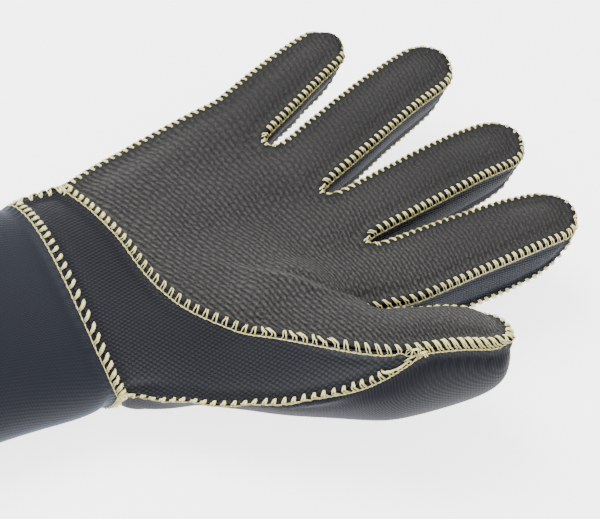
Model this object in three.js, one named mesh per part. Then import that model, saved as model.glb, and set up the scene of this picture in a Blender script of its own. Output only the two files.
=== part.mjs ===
// A right-hand diving glove of foam rubber, lying on its back with the palm up. Millimetres, +Z up.
// +X runs along the fingers, -Y is the thumb's side, and z = 0 is the surface that the glove lies on.
// The skin is one net of points. Each point has an outer and an inner place, and each sewn panel is a
// set of the net's faces, thickened from the outer places to the inner ones.
import * as THREE from "three";

// Driving dimensions of the whole glove
const WALL = 3.0; // foam rubber with jersey on both faces
const SEAM_GAP = 0.34; // left open between two panels that are sewn edge to edge
const PALM_LENGTH = 99; // wrist seam to the base of the middle finger
const KNUCKLE_WIDTH = 97; // across the four fingers' bases
const PALM_SEAM_HEIGHT = 33.5; // palm seam above the surface
const BACK_SEAM_HEIGHT = 13; // back seam above the surface
const CROTCH_DEPTH = 2.6; // how far the seam dips below the fingers' bases
const WRIST_WIDTH = 74;
const WRIST_DEPTH = 36;
const WRIST_ACROSS = 3.2; // the wrist's middle lies this far to the ulnar side of the hand's
const CUFF_LENGTH = 72;
const CUFF_DRIFT = 9; // the cuff's mouth lies this far to the ulnar side of the wrist
const FINGER_TIP_WALL = 6; // the sewn tip is thicker than the wall
const FINGER_BELLY = 0.04; // a finger's swell half way along, as a share of its width
const THUMB_WIDTH = 33;
const THUMB_DEPTH = 38;
const THUMB_LENGTH = 38; // free length, from the point of the heel panel to the seam at the tip
const SIDE_BULGE = 0.9; // side strips swell this far past the straight line between their seams

// One row for each finger, from the ulnar side. along and across place its base, as shares of the palm's
// length and of half the knuckles' width. yaw is in degrees, tip is the width where the round tip starts,
// and depth is from the palm seam down to the back seam.
const FINGERS = [
  { name: "little", along: 0.854, across: 0.753, yaw: 21, length: 56.5, width: 19.5, tip: 15.5, depth: 17 },
  { name: "ring", along: 0.93, across: 0.237, yaw: 18, length: 81.5, width: 19.6, tip: 18.8, depth: 18 },
  { name: "middle", along: 0.975, across: -0.247, yaw: 6.2, length: 79.5, width: 17.9, tip: 18.6, depth: 20 },
  { name: "index", along: 0.99, across: -0.759, yaw: 0, length: 75, width: 22.6, tip: 18.6, depth: 20.5 },
];

// Sections of a finger. along is a share of the straight length before the round tip, or of the tip's
// own radius once tip is set. depth is a share of the finger's depth.
const FINGER_SECTIONS = [
  { along: 0.0, tip: 0, depth: 1.0 },
  { along: 0.17, tip: 0, depth: 1.0 },
  { along: 0.34, tip: 0, depth: 1.0 },
  { along: 0.51, tip: 0, depth: 0.99 },
  { along: 0.68, tip: 0, depth: 0.98 },
  { along: 0.85, tip: 0, depth: 0.95 },
  { along: 1.0, tip: 0.0, depth: 0.88 },
  { along: 1.0, tip: 0.4, depth: 0.74 },
  { along: 1.0, tip: 0.75, depth: 0.5 },
  { along: 1.0, tip: 1.0, depth: 0.0 },
];
const TIP_RADIUS_SHARE = 1.1; // the tip's reach past the straight part, as a share of its half width
const TIP_CORNER = THREE.MathUtils.degToRad(48); // where the side strips end on the round tip
const PALM_CROWN = 0.11; // rise of a finger's palm face at its middle, as a share of its width
const BACK_CROWN = 0.16;
const CROWN_FADE = 1.3; // the back's crown and the sides' swell fade out over the last of the depth

// Free sections of the thumb, from the point of the heel panel to the tip, as for the fingers. nose is
// how far the thumb's back reaches past its palm face, as a share of the thumb's length.
const THUMB_SECTIONS = [
  { along: 0.0, tip: 0, width: 1.0, depth: 1.0, nose: 0 },
  { along: 0.5, tip: 0, width: 0.97, depth: 0.97, nose: 0.01 },
  { along: 1.0, tip: 0.0, width: 0.88, depth: 0.92, nose: 0.04 },
  { along: 1.0, tip: 0.35, width: 0.88, depth: 0.84, nose: 0.075 },
  { along: 1.0, tip: 0.7, width: 0.88, depth: 0.66, nose: 0.085 },
  { along: 1.0, tip: 1.0, width: 0.88, depth: 0.0, nose: 0 },
];
// The tip's seam: its two ends as shares of half the width, and its height as a share of the top's
const THUMB_TIP_SEAM = { radial: -0.25, ulnar: 0.55, height: 0.98 };
const THUMB_TIP_NARROWING = Math.PI / 2.6; // angle that the round tip sweeps as it narrows
const THUMB_ROOT_SECTIONS = 6; // between the edge of the hand and the first free section
const THUMB_TIP_RADIUS_SHARE = 0.8;
const THUMB_YAW = THREE.MathUtils.degToRad(-16);
// Where the four seams lie around the thumb, in degrees from the top towards the index finger.
const THUMB_SEAMS = { palmRadial: -24, palmUlnar: 64, backUlnar: 122, backRadial: 336 };

// Outline of the wrist
const RING_POWER = 0.98; // a little squarer than an ellipse
const WRIST_ROLL = THREE.MathUtils.degToRad(6); // the ulnar side is a little higher
const WRIST_ANGLES = { ulnar: 22, radial: 180, backUlnar: -32 }; // degrees of the wrist's three corners
const WRIST_WAVE = { palm: -1.5, diagonal: 2.2, radial: 1.6 }; // how far the wrist seam leaves its plane

// Sections of the cuff from the wrist seam to the mouth, as shares of its length and the wrist's sizes
const CUFF_SECTIONS = [
  { along: 0.0, width: 1.0, depth: 1.0 },
  { along: 0.17, width: 1.0, depth: 1.0 },
  { along: 0.34, width: 0.995, depth: 1.01 },
  { along: 0.5, width: 1.0, depth: 1.03 },
  { along: 0.67, width: 1.015, depth: 1.06 },
  { along: 0.84, width: 1.04, depth: 1.1 },
  { along: 1.0, width: 1.07, depth: 1.15 },
];

// Landmarks of the hand. along is a share of the palm's length, across of half the width at the
// knuckles (positive on the ulnar side), and height of the palm seam's height.
const LANDMARKS = {
  web: { along: 0.778, across: -0.887, height: 1.02 },
  backWeb: { along: 0.745, across: -0.866, height: 0.42 },
  thumbCentre: { along: 0.777, across: -1.315, height: 0.965 },
};

// The fold where the thumb's sheet leaves the palm, between the heel seam's radial corner and the web.
const THUMB_FOLD = [
  { along: 0.5, across: -0.78, height: 1.22 },
  { along: 0.6, across: -0.765, height: 1.31 },
  { along: 0.7, across: -0.82, height: 1.25 },
];

// The palm's heel seam, from the ulnar corner to the radial one, placed as the landmarks are.
const HEEL_SEAM = [
  { along: 0.16, across: 0.718, height: 0.955 },
  { along: 0.188, across: 0.46, height: 1.02 },
  { along: 0.214, across: 0.16, height: 1.04 },
  { along: 0.222, across: -0.16, height: 1.06 },
  { along: 0.262, across: -0.46, height: 1.09 },
  { along: 0.385, across: -0.79, height: 1.11 },
];

// Soft mounds and hollows of the palm: place and reach as shares of the palm's length and half width,
// height as a share of the palm seam's height.
const PALM_RELIEF = [
  { name: "thenar_mound", along: 0.59, across: -0.6, reachAlong: 0.2, reachAcross: 0.28, height: 0.1 },
  { name: "hypothenar_mound", along: 0.42, across: 0.5, reachAlong: 0.28, reachAcross: 0.4, height: 0.06 },
  { name: "palm_hollow", along: 0.66, across: 0.1, reachAlong: 0.24, reachAcross: 0.4, height: -0.07 },
];

// How quickly the palm's relief starts at each of its edges: 1 over the share of the way that it takes
const RELIEF_START = { knuckles: 4, heel: 5, ulnar: 8, radial: 6 };
// The same for the back's sag to the surface, which reaches down by depth times the back seam's height
const BACK_SAG = { depth: 1.4, across: 6, knuckles: 3.2, wrist: 6 };

const FOLD_DECAY = 3; // how quickly the thumb's fold dies away across the palm
const ULNAR_SWELL = 1.4; // swell of the hand's ulnar edge
const BACK_TUCK = { across: -3, drop: 0.9 }; // of the back's edge under the thumb, drop as a share
const HEEL_SWELL = 0.07; // swell of the heel panel, as a share of its width
const HEEL_TURN_STEPS = 8; // steps over which the heel panel turns from the thumb's side to the palm

// Handles of the smooth runs to the thumb, at the web and at the palm's radial corner, as shares of the
// palm's length. leave starts at the edge of the hand, and arrive ends at the first free section.
const ROOT_HANDLES = {
  palm: {
    web: { leave: [0.05, -0.02, 0], arrive: [0.05, -0.01, 0] },
    heel: { leave: [0.121, -0.101, 0.051], arrive: [0.131, -0.081, 0.03] },
  },
  back: {
    web: { leave: [0.061, -0.03, 0], arrive: [0.061, -0.02, 0] },
    heel: { leave: [0.253, -0.182, 0.051], arrive: [0.111, 0.005, 0.212] },
  },
};
const UNDER_HANDLE = 0.162; // handle straight along the thumb, under it, as a share of the palm's length
const UNDER_REACH = 4; // it takes over within 1 over this share of the thumb's back, at the point

const FINGER_SEGMENTS = 4; // across a finger's palm face
const CROTCH_SEGMENTS = 2;
const SIDE_SEGMENTS = 3;
const HEEL_SEGMENTS = 4; // across the heel panel, from the palm seam to the wrist seam
const THUMB_SEGMENTS = 8; // across the thumb's palm face, and across its back
const WEB_ROWS = 3; // rows between the web and the index finger
const PALM_ROWS = THUMB_SEGMENTS + WEB_ROWS;
const PALM_COLUMNS = FINGERS.length * FINGER_SEGMENTS + (FINGERS.length - 1) * CROTCH_SEGMENTS;
const TIP_ROW = FINGER_SECTIONS.length - 1;
const POINT_ROW = THUMB_ROOT_SECTIONS; // the thumb's row where the heel panel comes to its point
const THUMB_TIP_ROW = THUMB_ROOT_SECTIONS + THUMB_SECTIONS.length - 1;
const CUFF_ROWS = CUFF_SECTIONS.length - 1;

const SHARPEST_CORNER = 0.12; // sine of half the angle of the sharpest corner that keeps its full gap
const STEEPEST_BEND = 0.65; // cosine of the steepest bend over which the wall keeps its full thickness

const { lerp, degToRad, clamp } = THREE.MathUtils;
const vec = (x, y, z) => new THREE.Vector3(x, y, z);
const UP = vec(0, 0, 1);

// A landmark's place in millimetres.
function place({ along, across, height }) {
  return vec(along * PALM_LENGTH, (across * KNUCKLE_WIDTH) / 2, height * PALM_SEAM_HEIGHT);
}

// The net: outer and inner places by key.
const outer = new Map();
const inner = new Map();
const key = (...parts) => parts.join(":");

// The finger's axis at a length s from its base: place on the palm seam's level, and direction.
function fingerAxis(finger, s) {
  const yaw = degToRad(finger.yaw);
  const direction = vec(Math.cos(yaw), Math.sin(yaw), 0);
  return { point: place({ ...finger, height: 1 }).addScaledVector(direction, s), direction };
}

// Plan of a round-ended limb at one section and one share across (-1 radial to 1 ulnar).
function planOf(section, share, length, halfWidth, tipHalf, radiusShare) {
  const reach = tipHalf * radiusShare;
  const straight = length - reach;
  if (section.tip === 0) return { s: section.along * straight, lateral: halfWidth * share };
  const edge = lerp(Math.PI / 2, TIP_CORNER, section.tip);
  const round = Math.sin(TIP_CORNER * share) / Math.sin(TIP_CORNER);
  return {
    s: straight + reach * section.tip * Math.cos(TIP_CORNER * share),
    lateral: tipHalf * Math.sin(edge) * lerp(share, round, section.tip),
  };
}

// A point of a finger's section. face is palm, back or side; share runs across the face from 1 on the
// ulnar side to -1, and level runs down a side from 0 at the palm seam to 1 at the back seam.
function fingerPoint(finger, row, { face, share, level = 0 }, inset) {
  const section = FINGER_SECTIONS[row];
  const belly = 1 + 4 * FINGER_BELLY * section.along * (1 - section.along);
  const half = (lerp(finger.width, finger.tip, section.along) * belly) / 2 - inset;
  const length = finger.length - (inset ? FINGER_TIP_WALL : 0);
  const tipHalf = finger.tip / 2 - inset;
  const { s, lateral } = planOf(section, share, length, half, tipHalf, TIP_RADIUS_SHARE);
  const { point, direction } = fingerAxis(finger, s);
  const side = vec(-direction.y, direction.x, 0).normalize();
  const depth = (finger.depth - 2 * inset) * section.depth;
  const crown = 1 - share * share;
  const fade = Math.min(1, section.depth * CROWN_FADE);
  let height = -inset;
  let out = lateral;
  if (face === "palm") height += finger.width * PALM_CROWN * crown;
  if (face === "back") height -= depth + finger.width * BACK_CROWN * crown * fade;
  if (face === "side") {
    height -= depth * level;
    out += Math.sign(share) * SIDE_BULGE * 4 * level * (1 - level) * fade;
  }
  return point.addScaledVector(side, out).addScaledVector(UP, height);
}

const shareAcross = (a, segments) => 1 - (2 * a) / segments;

function setFinger(finger, f) {
  for (let row = 0; row <= TIP_ROW; row++) {
    for (const face of ["palm", "back"]) {
      for (let a = 0; a <= FINGER_SEGMENTS; a++) {
        if (row === TIP_ROW && face === "back") continue;
        const where = { face, share: shareAcross(a, FINGER_SEGMENTS) };
        outer.set(key(face, f, row, a), fingerPoint(finger, row, where, 0));
        inner.set(key(face, f, row, a), fingerPoint(finger, row, where, WALL));
      }
    }
    for (const [edge, share] of [["ulnar", 1], ["radial", -1]]) {
      for (let t = 1; t < SIDE_SEGMENTS; t++) {
        if (row === TIP_ROW) continue;
        const where = { face: "side", share, level: t / SIDE_SEGMENTS };
        outer.set(key(edge, f, row, t), fingerPoint(finger, row, where, 0));
        inner.set(key(edge, f, row, t), fingerPoint(finger, row, where, WALL));
      }
    }
  }
}

// Keys of a finger's points. The tip row of the back is the palm's own.
const fingerKey = (face, f, row, a) => key(row === TIP_ROW ? "palm" : face, f, row, a);

// Keys down a finger's side, from the palm seam to the back seam.
function fingerSideKey(edge, f, row, t) {
  const a = edge === "ulnar" ? 0 : FINGER_SEGMENTS;
  if (t === 0 || row === TIP_ROW) return fingerKey("palm", f, row, a);
  if (t === SIDE_SEGMENTS) return fingerKey("back", f, row, a);
  return key(edge, f, row, t);
}

// Palm and back of the hand. Rows run from the heel (0) to the knuckles, columns from the ulnar side.
const HAND_STEP = FINGER_SEGMENTS + CROTCH_SEGMENTS;

function handKey(face, row, column) {
  if (row < PALM_ROWS) return key(face + "_hand", row, column);
  const f = Math.min(FINGERS.length - 1, Math.floor(column / HAND_STEP));
  const a = column - f * HAND_STEP;
  return a <= FINGER_SEGMENTS ? fingerKey(face, f, 0, a) : key(face + "_crotch", f, a - FINGER_SEGMENTS);
}

function setCrotches() {
  for (let f = 0; f < FINGERS.length - 1; f++) {
    for (const face of ["palm", "back"]) {
      for (let c = 1; c < CROTCH_SEGMENTS; c++) {
        for (const [net, extra] of [[outer, 0], [inner, WALL]]) {
          const a = net.get(fingerKey(face, f, 0, FINGER_SEGMENTS));
          const b = net.get(fingerKey(face, f + 1, 0, 0));
          const middle = a.clone().lerp(b, c / CROTCH_SEGMENTS);
          middle.x -= CROTCH_DEPTH + extra;
          net.set(key(face + "_crotch", f, c), middle);
        }
      }
    }
    for (let c = 1; c < CROTCH_SEGMENTS; c++) {
      for (let t = 1; t < SIDE_SEGMENTS; t++) {
        for (const net of [outer, inner]) {
          const top = net.get(key("palm_crotch", f, c));
          const low = net.get(key("back_crotch", f, c));
          net.set(key("crotch_side", f, c, t), top.clone().lerp(low, t / SIDE_SEGMENTS));
        }
      }
    }
  }
}

function relief(x, y) {
  let height = 0;
  for (const mound of PALM_RELIEF) {
    const dx = (x / PALM_LENGTH - mound.along) / mound.reachAlong;
    const dy = (y / (KNUCKLE_WIDTH / 2) - mound.across) / mound.reachAcross;
    height += mound.height * PALM_SEAM_HEIGHT * Math.exp(-(dx * dx + dy * dy));
  }
  return height;
}

// The wrist's closed outline at a share of its width and depth. angle 0 is the ulnar side, 90 the palm.
function ringPoint(angle, width, depth, x) {
  const c = Math.cos(angle);
  const s = Math.sin(angle);
  const y = (Math.sign(c) * Math.abs(c) ** RING_POWER * width) / 2;
  const z = (Math.sign(s) * Math.abs(s) ** RING_POWER * depth) / 2;
  const lift = depth / 2 + y * Math.sin(WRIST_ROLL);
  return vec(x, y + WRIST_ACROSS, Math.max(0, z + lift));
}

function wristPoint(degrees) {
  const angle = degToRad(degrees);
  const { palm, diagonal, radial } = WRIST_WAVE;
  const wave = palm * Math.sin(angle) ** 2 + diagonal * Math.sin(2 * angle);
  const x = (Math.sin(angle) > 0 ? wave : 0) - radial * Math.cos(angle);
  return ringPoint(angle, WRIST_WIDTH, WRIST_DEPTH, x);
}

// Edge columns and rows of the hand, and a Coons patch inside them.
function setHandFace(face) {
  const palm = face === "palm";
  const marks = Object.fromEntries(Object.entries(LANDMARKS).map(([n, m]) => [n, place(m)]));
  const knuckles = [];
  for (let c = 0; c <= PALM_COLUMNS; c++) knuckles.push(outer.get(handKey(face, PALM_ROWS, c)));
  const heelSeam = new THREE.CatmullRomCurve3(HEEL_SEAM.map(place));
  const heel = [];
  for (let c = 0; c <= PALM_COLUMNS; c++) {
    const u = c / PALM_COLUMNS;
    const wristAngle = lerp(WRIST_ANGLES.backUlnar, WRIST_ANGLES.radial - 360, u);
    heel.push(palm ? heelSeam.getPointAt(u) : wristPoint(wristAngle));
  }
  const root = heel[PALM_COLUMNS];
  const fold = new THREE.CatmullRomCurve3([root, ...THUMB_FOLD.map(place), marks.web]);
  const ulnar = [];
  const radial = [];
  const rise = [];
  for (let r = 0; r <= PALM_ROWS; r++) {
    const v = r / PALM_ROWS;
    const w = Math.min(1, r / THUMB_SEGMENTS);
    const swell = 4 * v * (1 - v) * ULNAR_SWELL;
    const web = palm ? marks.web : marks.backWeb;
    const straight = root.clone().lerp(web, w);
    if (r > THUMB_SEGMENTS) straight.lerp(knuckles[PALM_COLUMNS], (r - THUMB_SEGMENTS) / WEB_ROWS);
    const bend = palm ? fold.getPointAt(w).sub(root.clone().lerp(web, w)) : backBend(w);
    ulnar.push(heel[0].clone().lerp(knuckles[0], v).add(vec(0, swell, 0)));
    radial.push(straight.clone().add(bend));
    rise.push(palm ? bend : vec(0, 0, 0));
  }
  for (let r = 0; r < PALM_ROWS; r++) {
    for (let c = 0; c <= PALM_COLUMNS; c++) {
      const u = c / PALM_COLUMNS;
      const v = r / PALM_ROWS;
      const point = vec(0, 0, 0)
        .addScaledVector(heel[c], 1 - v)
        .addScaledVector(knuckles[c], v)
        .addScaledVector(ulnar[r], 1 - u)
        .addScaledVector(radial[r], u)
        .addScaledVector(rise[r], u ** FOLD_DECAY - u)
        .addScaledVector(heel[0], -(1 - u) * (1 - v))
        .addScaledVector(root, -u * (1 - v))
        .addScaledVector(knuckles[0], -(1 - u) * v)
        .addScaledVector(knuckles[PALM_COLUMNS], -u * v);
      const inside = r > 0 && c > 0 && c < PALM_COLUMNS;
      if (palm && inside) {
        const { knuckles: k, heel: h, ulnar: side, radial: thumb } = RELIEF_START;
        const fade = Math.min(1, k * (1 - v), h * v, thumb * (1 - u), side * u);
        point.z += relief(point.x, point.y) * fade;
      }
      if (!palm && inside) {
        const across = Math.min(1, BACK_SAG.across * u * (1 - u));
        const along = Math.min(1, BACK_SAG.knuckles * (1 - v), BACK_SAG.wrist * v);
        point.z -= BACK_SEAM_HEIGHT * BACK_SAG.depth * across * along;
      }
      if (!palm) point.z = Math.max(0, point.z);
      outer.set(handKey(face, r, c), point);
    }
  }
}

// The back's edge under the thumb dips to the surface and draws in below the palm.
function backBend(w) {
  const bow = Math.sin(Math.PI * w) ** 2;
  return vec(0, bow * BACK_TUCK.across, -bow * BACK_SEAM_HEIGHT * BACK_TUCK.drop);
}

// Side walls of the hand: the ulnar edge, and the stretch between the web and the index finger.
function setHandSides() {
  for (let r = 0; r < PALM_ROWS; r++) {
    const top = outer.get(handKey("palm", r, 0));
    const low = outer.get(handKey("back", r, 0));
    for (let t = 1; t < SIDE_SEGMENTS; t++) {
      const level = t / SIDE_SEGMENTS;
      const point = top.clone().lerp(low, level);
      point.y += 8 * level * (1 - level) * SIDE_BULGE;
      outer.set(key("ulnar_hand", r, t), point);
    }
  }
  for (let t = 1; t < SIDE_SEGMENTS; t++) {
    const level = t / SIDE_SEGMENTS;
    const angle = lerp(WRIST_ANGLES.ulnar, WRIST_ANGLES.backUlnar, (t - 1) / (SIDE_SEGMENTS - 1));
    outer.set(key("ulnar_hand", 0, t), wristPoint(angle));
    for (let r = THUMB_SEGMENTS; r < PALM_ROWS; r++) {
      const top = outer.get(handKey("palm", r, PALM_COLUMNS));
      const low = outer.get(handKey("back", r, PALM_COLUMNS));
      const point = top.clone().lerp(low, level);
      point.y -= 4 * level * (1 - level) * SIDE_BULGE;
      outer.set(key("web_side", r, t), point);
    }
  }
}

// Thumb
const thumbDirection = vec(Math.cos(THUMB_YAW), Math.sin(THUMB_YAW), 0);
const thumbSide = vec(-thumbDirection.y, thumbDirection.x, 0); // towards the index finger

// A point of a free section. degrees runs from the top towards the index finger.
function thumbPoint(index, degrees, share, inset) {
  const section = THUMB_SECTIONS[index];
  const half = THUMB_WIDTH / 2 - inset;
  const length = THUMB_LENGTH - (inset ? FINGER_TIP_WALL : 0);
  const centre = place(LANDMARKS.thumbCentre);
  const top = THUMB_DEPTH / 2 - inset;
  const halfDepth = top * section.depth;
  const angle = degToRad(degrees);
  const isBack = degrees > THUMB_SEAMS.palmUlnar;
  if (section.tip === 0) {
    const straight = length - half * THUMB_SECTIONS.at(-1).width * THUMB_TIP_RADIUS_SHARE;
    return centre
      .addScaledVector(thumbDirection, section.along * straight + (isBack ? section.nose * length : 0))
      .addScaledVector(thumbSide, Math.sin(angle) * half * section.width)
      .addScaledVector(UP, top - halfDepth + Math.cos(angle) * halfDepth);
  }
  const tipHalf = half * section.width;
  const { s } = planOf(section, share, length, tipHalf, tipHalf, THUMB_TIP_RADIUS_SHARE);
  const ulnarUp = Math.cos(degToRad(THUMB_SEAMS.palmUlnar));
  const radialUp = Math.cos(degToRad(THUMB_SEAMS.palmRadial));
  const across = (share + 1) / 2;
  const narrowing = Math.cos(section.tip * THUMB_TIP_NARROWING);
  const onRing = {
    lateral: Math.sin(angle) * tipHalf * narrowing,
    up: top - halfDepth + Math.cos(angle) * halfDepth,
  };
  const onTip = {
    lateral: half * lerp(THUMB_TIP_SEAM.radial, THUMB_TIP_SEAM.ulnar, across),
    up: top * THUMB_TIP_SEAM.height * lerp(radialUp, ulnarUp, across),
  };
  const blend = section.tip ** 2;
  return centre
    .addScaledVector(thumbDirection, s + (isBack ? section.nose * length : 0))
    .addScaledVector(thumbSide, lerp(onRing.lateral, onTip.lateral, blend))
    .addScaledVector(UP, lerp(onRing.up, onTip.up, blend));
}

const thumbRowKey = (face, row, a) => {
  if (row === 0) return handKey(face, THUMB_SEGMENTS - a, PALM_COLUMNS);
  if (face === "back" && a === THUMB_SEGMENTS && row >= POINT_ROW) return key("palm_thumb", row, a);
  if (row === THUMB_TIP_ROW) return key("palm_thumb", row, a);
  return key(face + "_thumb", row, a);
};

function thumbSideKey(row, t) {
  if (t === 0 || row === THUMB_TIP_ROW) return thumbRowKey("palm", row, 0);
  if (t === SIDE_SEGMENTS) return thumbRowKey("back", row, 0);
  return row === 0 ? key("web_side", THUMB_SEGMENTS, t) : key("thumb_side", row, t);
}

function setFreeThumb() {
  for (let i = 0; i < THUMB_SECTIONS.length; i++) {
    const row = THUMB_ROOT_SECTIONS + i;
    for (const [net, inset] of [[outer, 0], [inner, WALL]]) {
      for (let a = 0; a <= THUMB_SEGMENTS; a++) {
        const u = a / THUMB_SEGMENTS;
        const share = shareAcross(a, THUMB_SEGMENTS);
        const palmAngle = lerp(THUMB_SEAMS.palmUlnar, THUMB_SEAMS.palmRadial, u);
        const backAngle = lerp(THUMB_SEAMS.backUlnar, THUMB_SEAMS.backRadial, u);
        const backKey = thumbRowKey("back", row, a);
        if (!backKey.startsWith("palm")) net.set(backKey, thumbPoint(i, backAngle, share, inset));
        net.set(thumbRowKey("palm", row, a), thumbPoint(i, palmAngle, share, inset));
      }
      if (row < THUMB_TIP_ROW)
        for (let t = 1; t < SIDE_SEGMENTS; t++) {
          const angle = lerp(THUMB_SEAMS.palmUlnar, THUMB_SEAMS.backUlnar, t / SIDE_SEGMENTS);
          net.set(thumbSideKey(row, t), thumbPoint(i, angle, 1, inset));
        }
    }
  }
}

// A smooth run of points from the edge of the hand to the first free section. leave and arrive are the
// vectors to its two handles.
function rootRun(start, end, leave, arrive) {
  const curve = new THREE.CubicBezierCurve3(start, start.clone().add(leave), end.clone().sub(arrive), end);
  return (row) => curve.getPoint(row / THUMB_ROOT_SECTIONS);
}

const handle = (shares) => vec(...shares).multiplyScalar(PALM_LENGTH);

function setThumbRoot() {
  for (let a = 0; a <= THUMB_SEGMENTS; a++) {
    const u = a / THUMB_SEGMENTS;
    for (const face of ["palm", "back"]) {
      const { web, heel } = ROOT_HANDLES[face];
      const under = face === "back" ? Math.min(1, (1 - u) * UNDER_REACH) : 1;
      const straight = thumbDirection.clone().multiplyScalar(UNDER_HANDLE * PALM_LENGTH);
      const leave = handle(web.leave).lerp(handle(heel.leave), u);
      const arrive = handle(web.arrive).lerp(handle(heel.arrive).lerp(straight, under), u);
      const [start, end] = [0, POINT_ROW].map((row) => outer.get(thumbRowKey(face, row, a)));
      const run = rootRun(start, end, leave, arrive);
      for (let row = 1; row < POINT_ROW; row++) {
        const point = run(row);
        point.z = Math.max(0, point.z);
        outer.set(key(face + "_thumb", row, a), point);
      }
    }
  }
  for (let t = 1; t < SIDE_SEGMENTS; t++) {
    const { leave, arrive } = ROOT_HANDLES.palm.web;
    const [start, end] = [0, POINT_ROW].map((row) => outer.get(thumbSideKey(row, t)));
    const run = rootRun(start, end, handle(leave), handle(arrive));
    for (let row = 1; row < POINT_ROW; row++) outer.set(thumbSideKey(row, t), run(row));
  }
}

// The heel panel runs along the palm seam from its point on the thumb to the palm's ulnar corner.
const HEEL_STEPS = POINT_ROW + PALM_COLUMNS;

function heelEdgeKey(step, low) {
  if (step <= POINT_ROW) return thumbRowKey(low ? "back" : "palm", POINT_ROW - step, THUMB_SEGMENTS);
  const column = PALM_COLUMNS - (step - POINT_ROW);
  return low ? key("wrist_palm", column) : handKey("palm", 0, column);
}

function heelKey(step, t) {
  if (t === 0 || step === 0) return heelEdgeKey(step, false);
  if (t === HEEL_SEGMENTS) return heelEdgeKey(step, true);
  return key("heel", step, t);
}

function setHeel() {
  for (let c = 0; c < PALM_COLUMNS; c++) {
    const angle = lerp(WRIST_ANGLES.ulnar, WRIST_ANGLES.radial, c / PALM_COLUMNS);
    outer.set(key("wrist_palm", c), wristPoint(angle));
  }
  outer.set(key("wrist_palm", PALM_COLUMNS), outer.get(handKey("back", 0, PALM_COLUMNS)));
  for (let step = 1; step <= HEEL_STEPS; step++) {
    const top = outer.get(heelKey(step, 0));
    const low = outer.get(heelKey(step, HEEL_SEGMENTS));
    const turn = clamp((step - POINT_ROW) / HEEL_TURN_STEPS, 0, 1);
    const out = vec(0, -1, 0.5).normalize().lerp(UP, turn).normalize();
    const swell = step === HEEL_STEPS ? 0 : HEEL_SWELL * top.distanceTo(low);
    for (let t = 1; t < HEEL_SEGMENTS; t++) {
      const level = t / HEEL_SEGMENTS;
      const rise = 4 * level * (1 - level) * swell;
      outer.set(key("heel", step, t), top.clone().lerp(low, level).addScaledVector(out, rise));
    }
  }
}

// The wrist's ring of keys: over the palm from the ulnar side, then back under the hand.
function wristRing() {
  const ring = [];
  for (let c = 0; c <= PALM_COLUMNS; c++) ring.push(heelEdgeKey(HEEL_STEPS - c, true));
  for (let c = PALM_COLUMNS - 1; c >= 0; c--) ring.push(handKey("back", 0, c));
  for (let t = SIDE_SEGMENTS - 1; t > 1; t--) ring.push(key("ulnar_hand", 0, t));
  return ring;
}

const cuffKey = (ring, r, m) => (m === 0 ? ring[r % ring.length] : key("cuff", r % ring.length, m));

function setCuff(ring) {
  const wrist = ring.map((k) => outer.get(k));
  CUFF_SECTIONS.forEach(({ along, width, depth }, m) => {
    wrist.forEach((point, r) => {
      const x = lerp(point.x, 0, along) - CUFF_LENGTH * along;
      const y = (point.y - WRIST_ACROSS) * width + WRIST_ACROSS + CUFF_DRIFT * along;
      if (m > 0) outer.set(key("cuff", r, m), vec(x, y, point.z * depth));
    });
  });
}

// Faces of each panel, wound so that their normals point out
const panels = new Map();

function grid(panel, rows, columns, keyAt) {
  const faces = panels.get(panel) ?? [];
  panels.set(panel, faces);
  for (let r = 0; r < rows; r++)
    for (let c = 0; c < columns; c++) {
      const corners = [keyAt(r, c), keyAt(r, c + 1), keyAt(r + 1, c + 1), keyAt(r + 1, c)];
      faces.push(corners.filter((k, i) => corners.indexOf(k) === i));
    }
}

const turned = (keyAt, columns) => (r, c) => keyAt(r, columns - c);

function weavePanels(ring) {
  for (const face of ["palm", "back"]) {
    const name = face === "palm" ? "palm_panel" : "back_panel";
    const wind = (keyAt, columns) => (face === "palm" ? keyAt : turned(keyAt, columns));
    grid(name, PALM_ROWS, PALM_COLUMNS, wind((r, c) => handKey(face, r, c), PALM_COLUMNS));
    FINGERS.forEach((_, f) =>
      grid(name, TIP_ROW, FINGER_SEGMENTS, wind((r, a) => fingerKey(face, f, r, a), FINGER_SEGMENTS)),
    );
    grid(name, THUMB_TIP_ROW, THUMB_SEGMENTS, wind((r, a) => thumbRowKey(face, r, a), THUMB_SEGMENTS));
  }
  const along = (keyAt) => (t, i) => keyAt(i, t);
  const down = (keyAt, steps) => (t, i) => keyAt(steps - i, t);
  const strip = (name, steps, keyAt) => grid(name, SIDE_SEGMENTS, steps, keyAt);
  strip("ulnar_side_strip", PALM_ROWS, along(handSideKey));
  const wristCorner = [handSideKey(1, 1)];
  for (let t = HEEL_SEGMENTS; t >= 0; t--) wristCorner.push(heelKey(HEEL_STEPS, t));
  panels.get("ulnar_side_strip").splice(0, 1, [...wristCorner, handSideKey(1, 0)]);
  FINGERS.forEach((finger, f) => {
    const name = f === 0 ? "ulnar_side_strip" : `${FINGERS[f - 1].name}_${finger.name}_strip`;
    strip(name, TIP_ROW, along((i, t) => fingerSideKey("ulnar", f, i, t)));
    const next = f + 1 < FINGERS.length ? FINGERS[f + 1].name : "thumb";
    const radial = `${finger.name}_${next}_strip`;
    strip(radial, TIP_ROW, down((i, t) => fingerSideKey("radial", f, i, t), TIP_ROW));
    if (next !== "thumb") strip(radial, CROTCH_SEGMENTS, along((i, t) => crotchSideKey(f, i, t)));
  });
  const web = (i, t) => webSideKey(PALM_ROWS - i, t);
  strip("index_thumb_strip", WEB_ROWS, along(web));
  strip("index_thumb_strip", THUMB_TIP_ROW, along(thumbSideKey));
  grid("heel_panel", HEEL_SEGMENTS, HEEL_STEPS, along(heelKey));
  grid("cuff", ring.length, CUFF_ROWS, (r, m) => cuffKey(ring, r, m));
}

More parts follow.
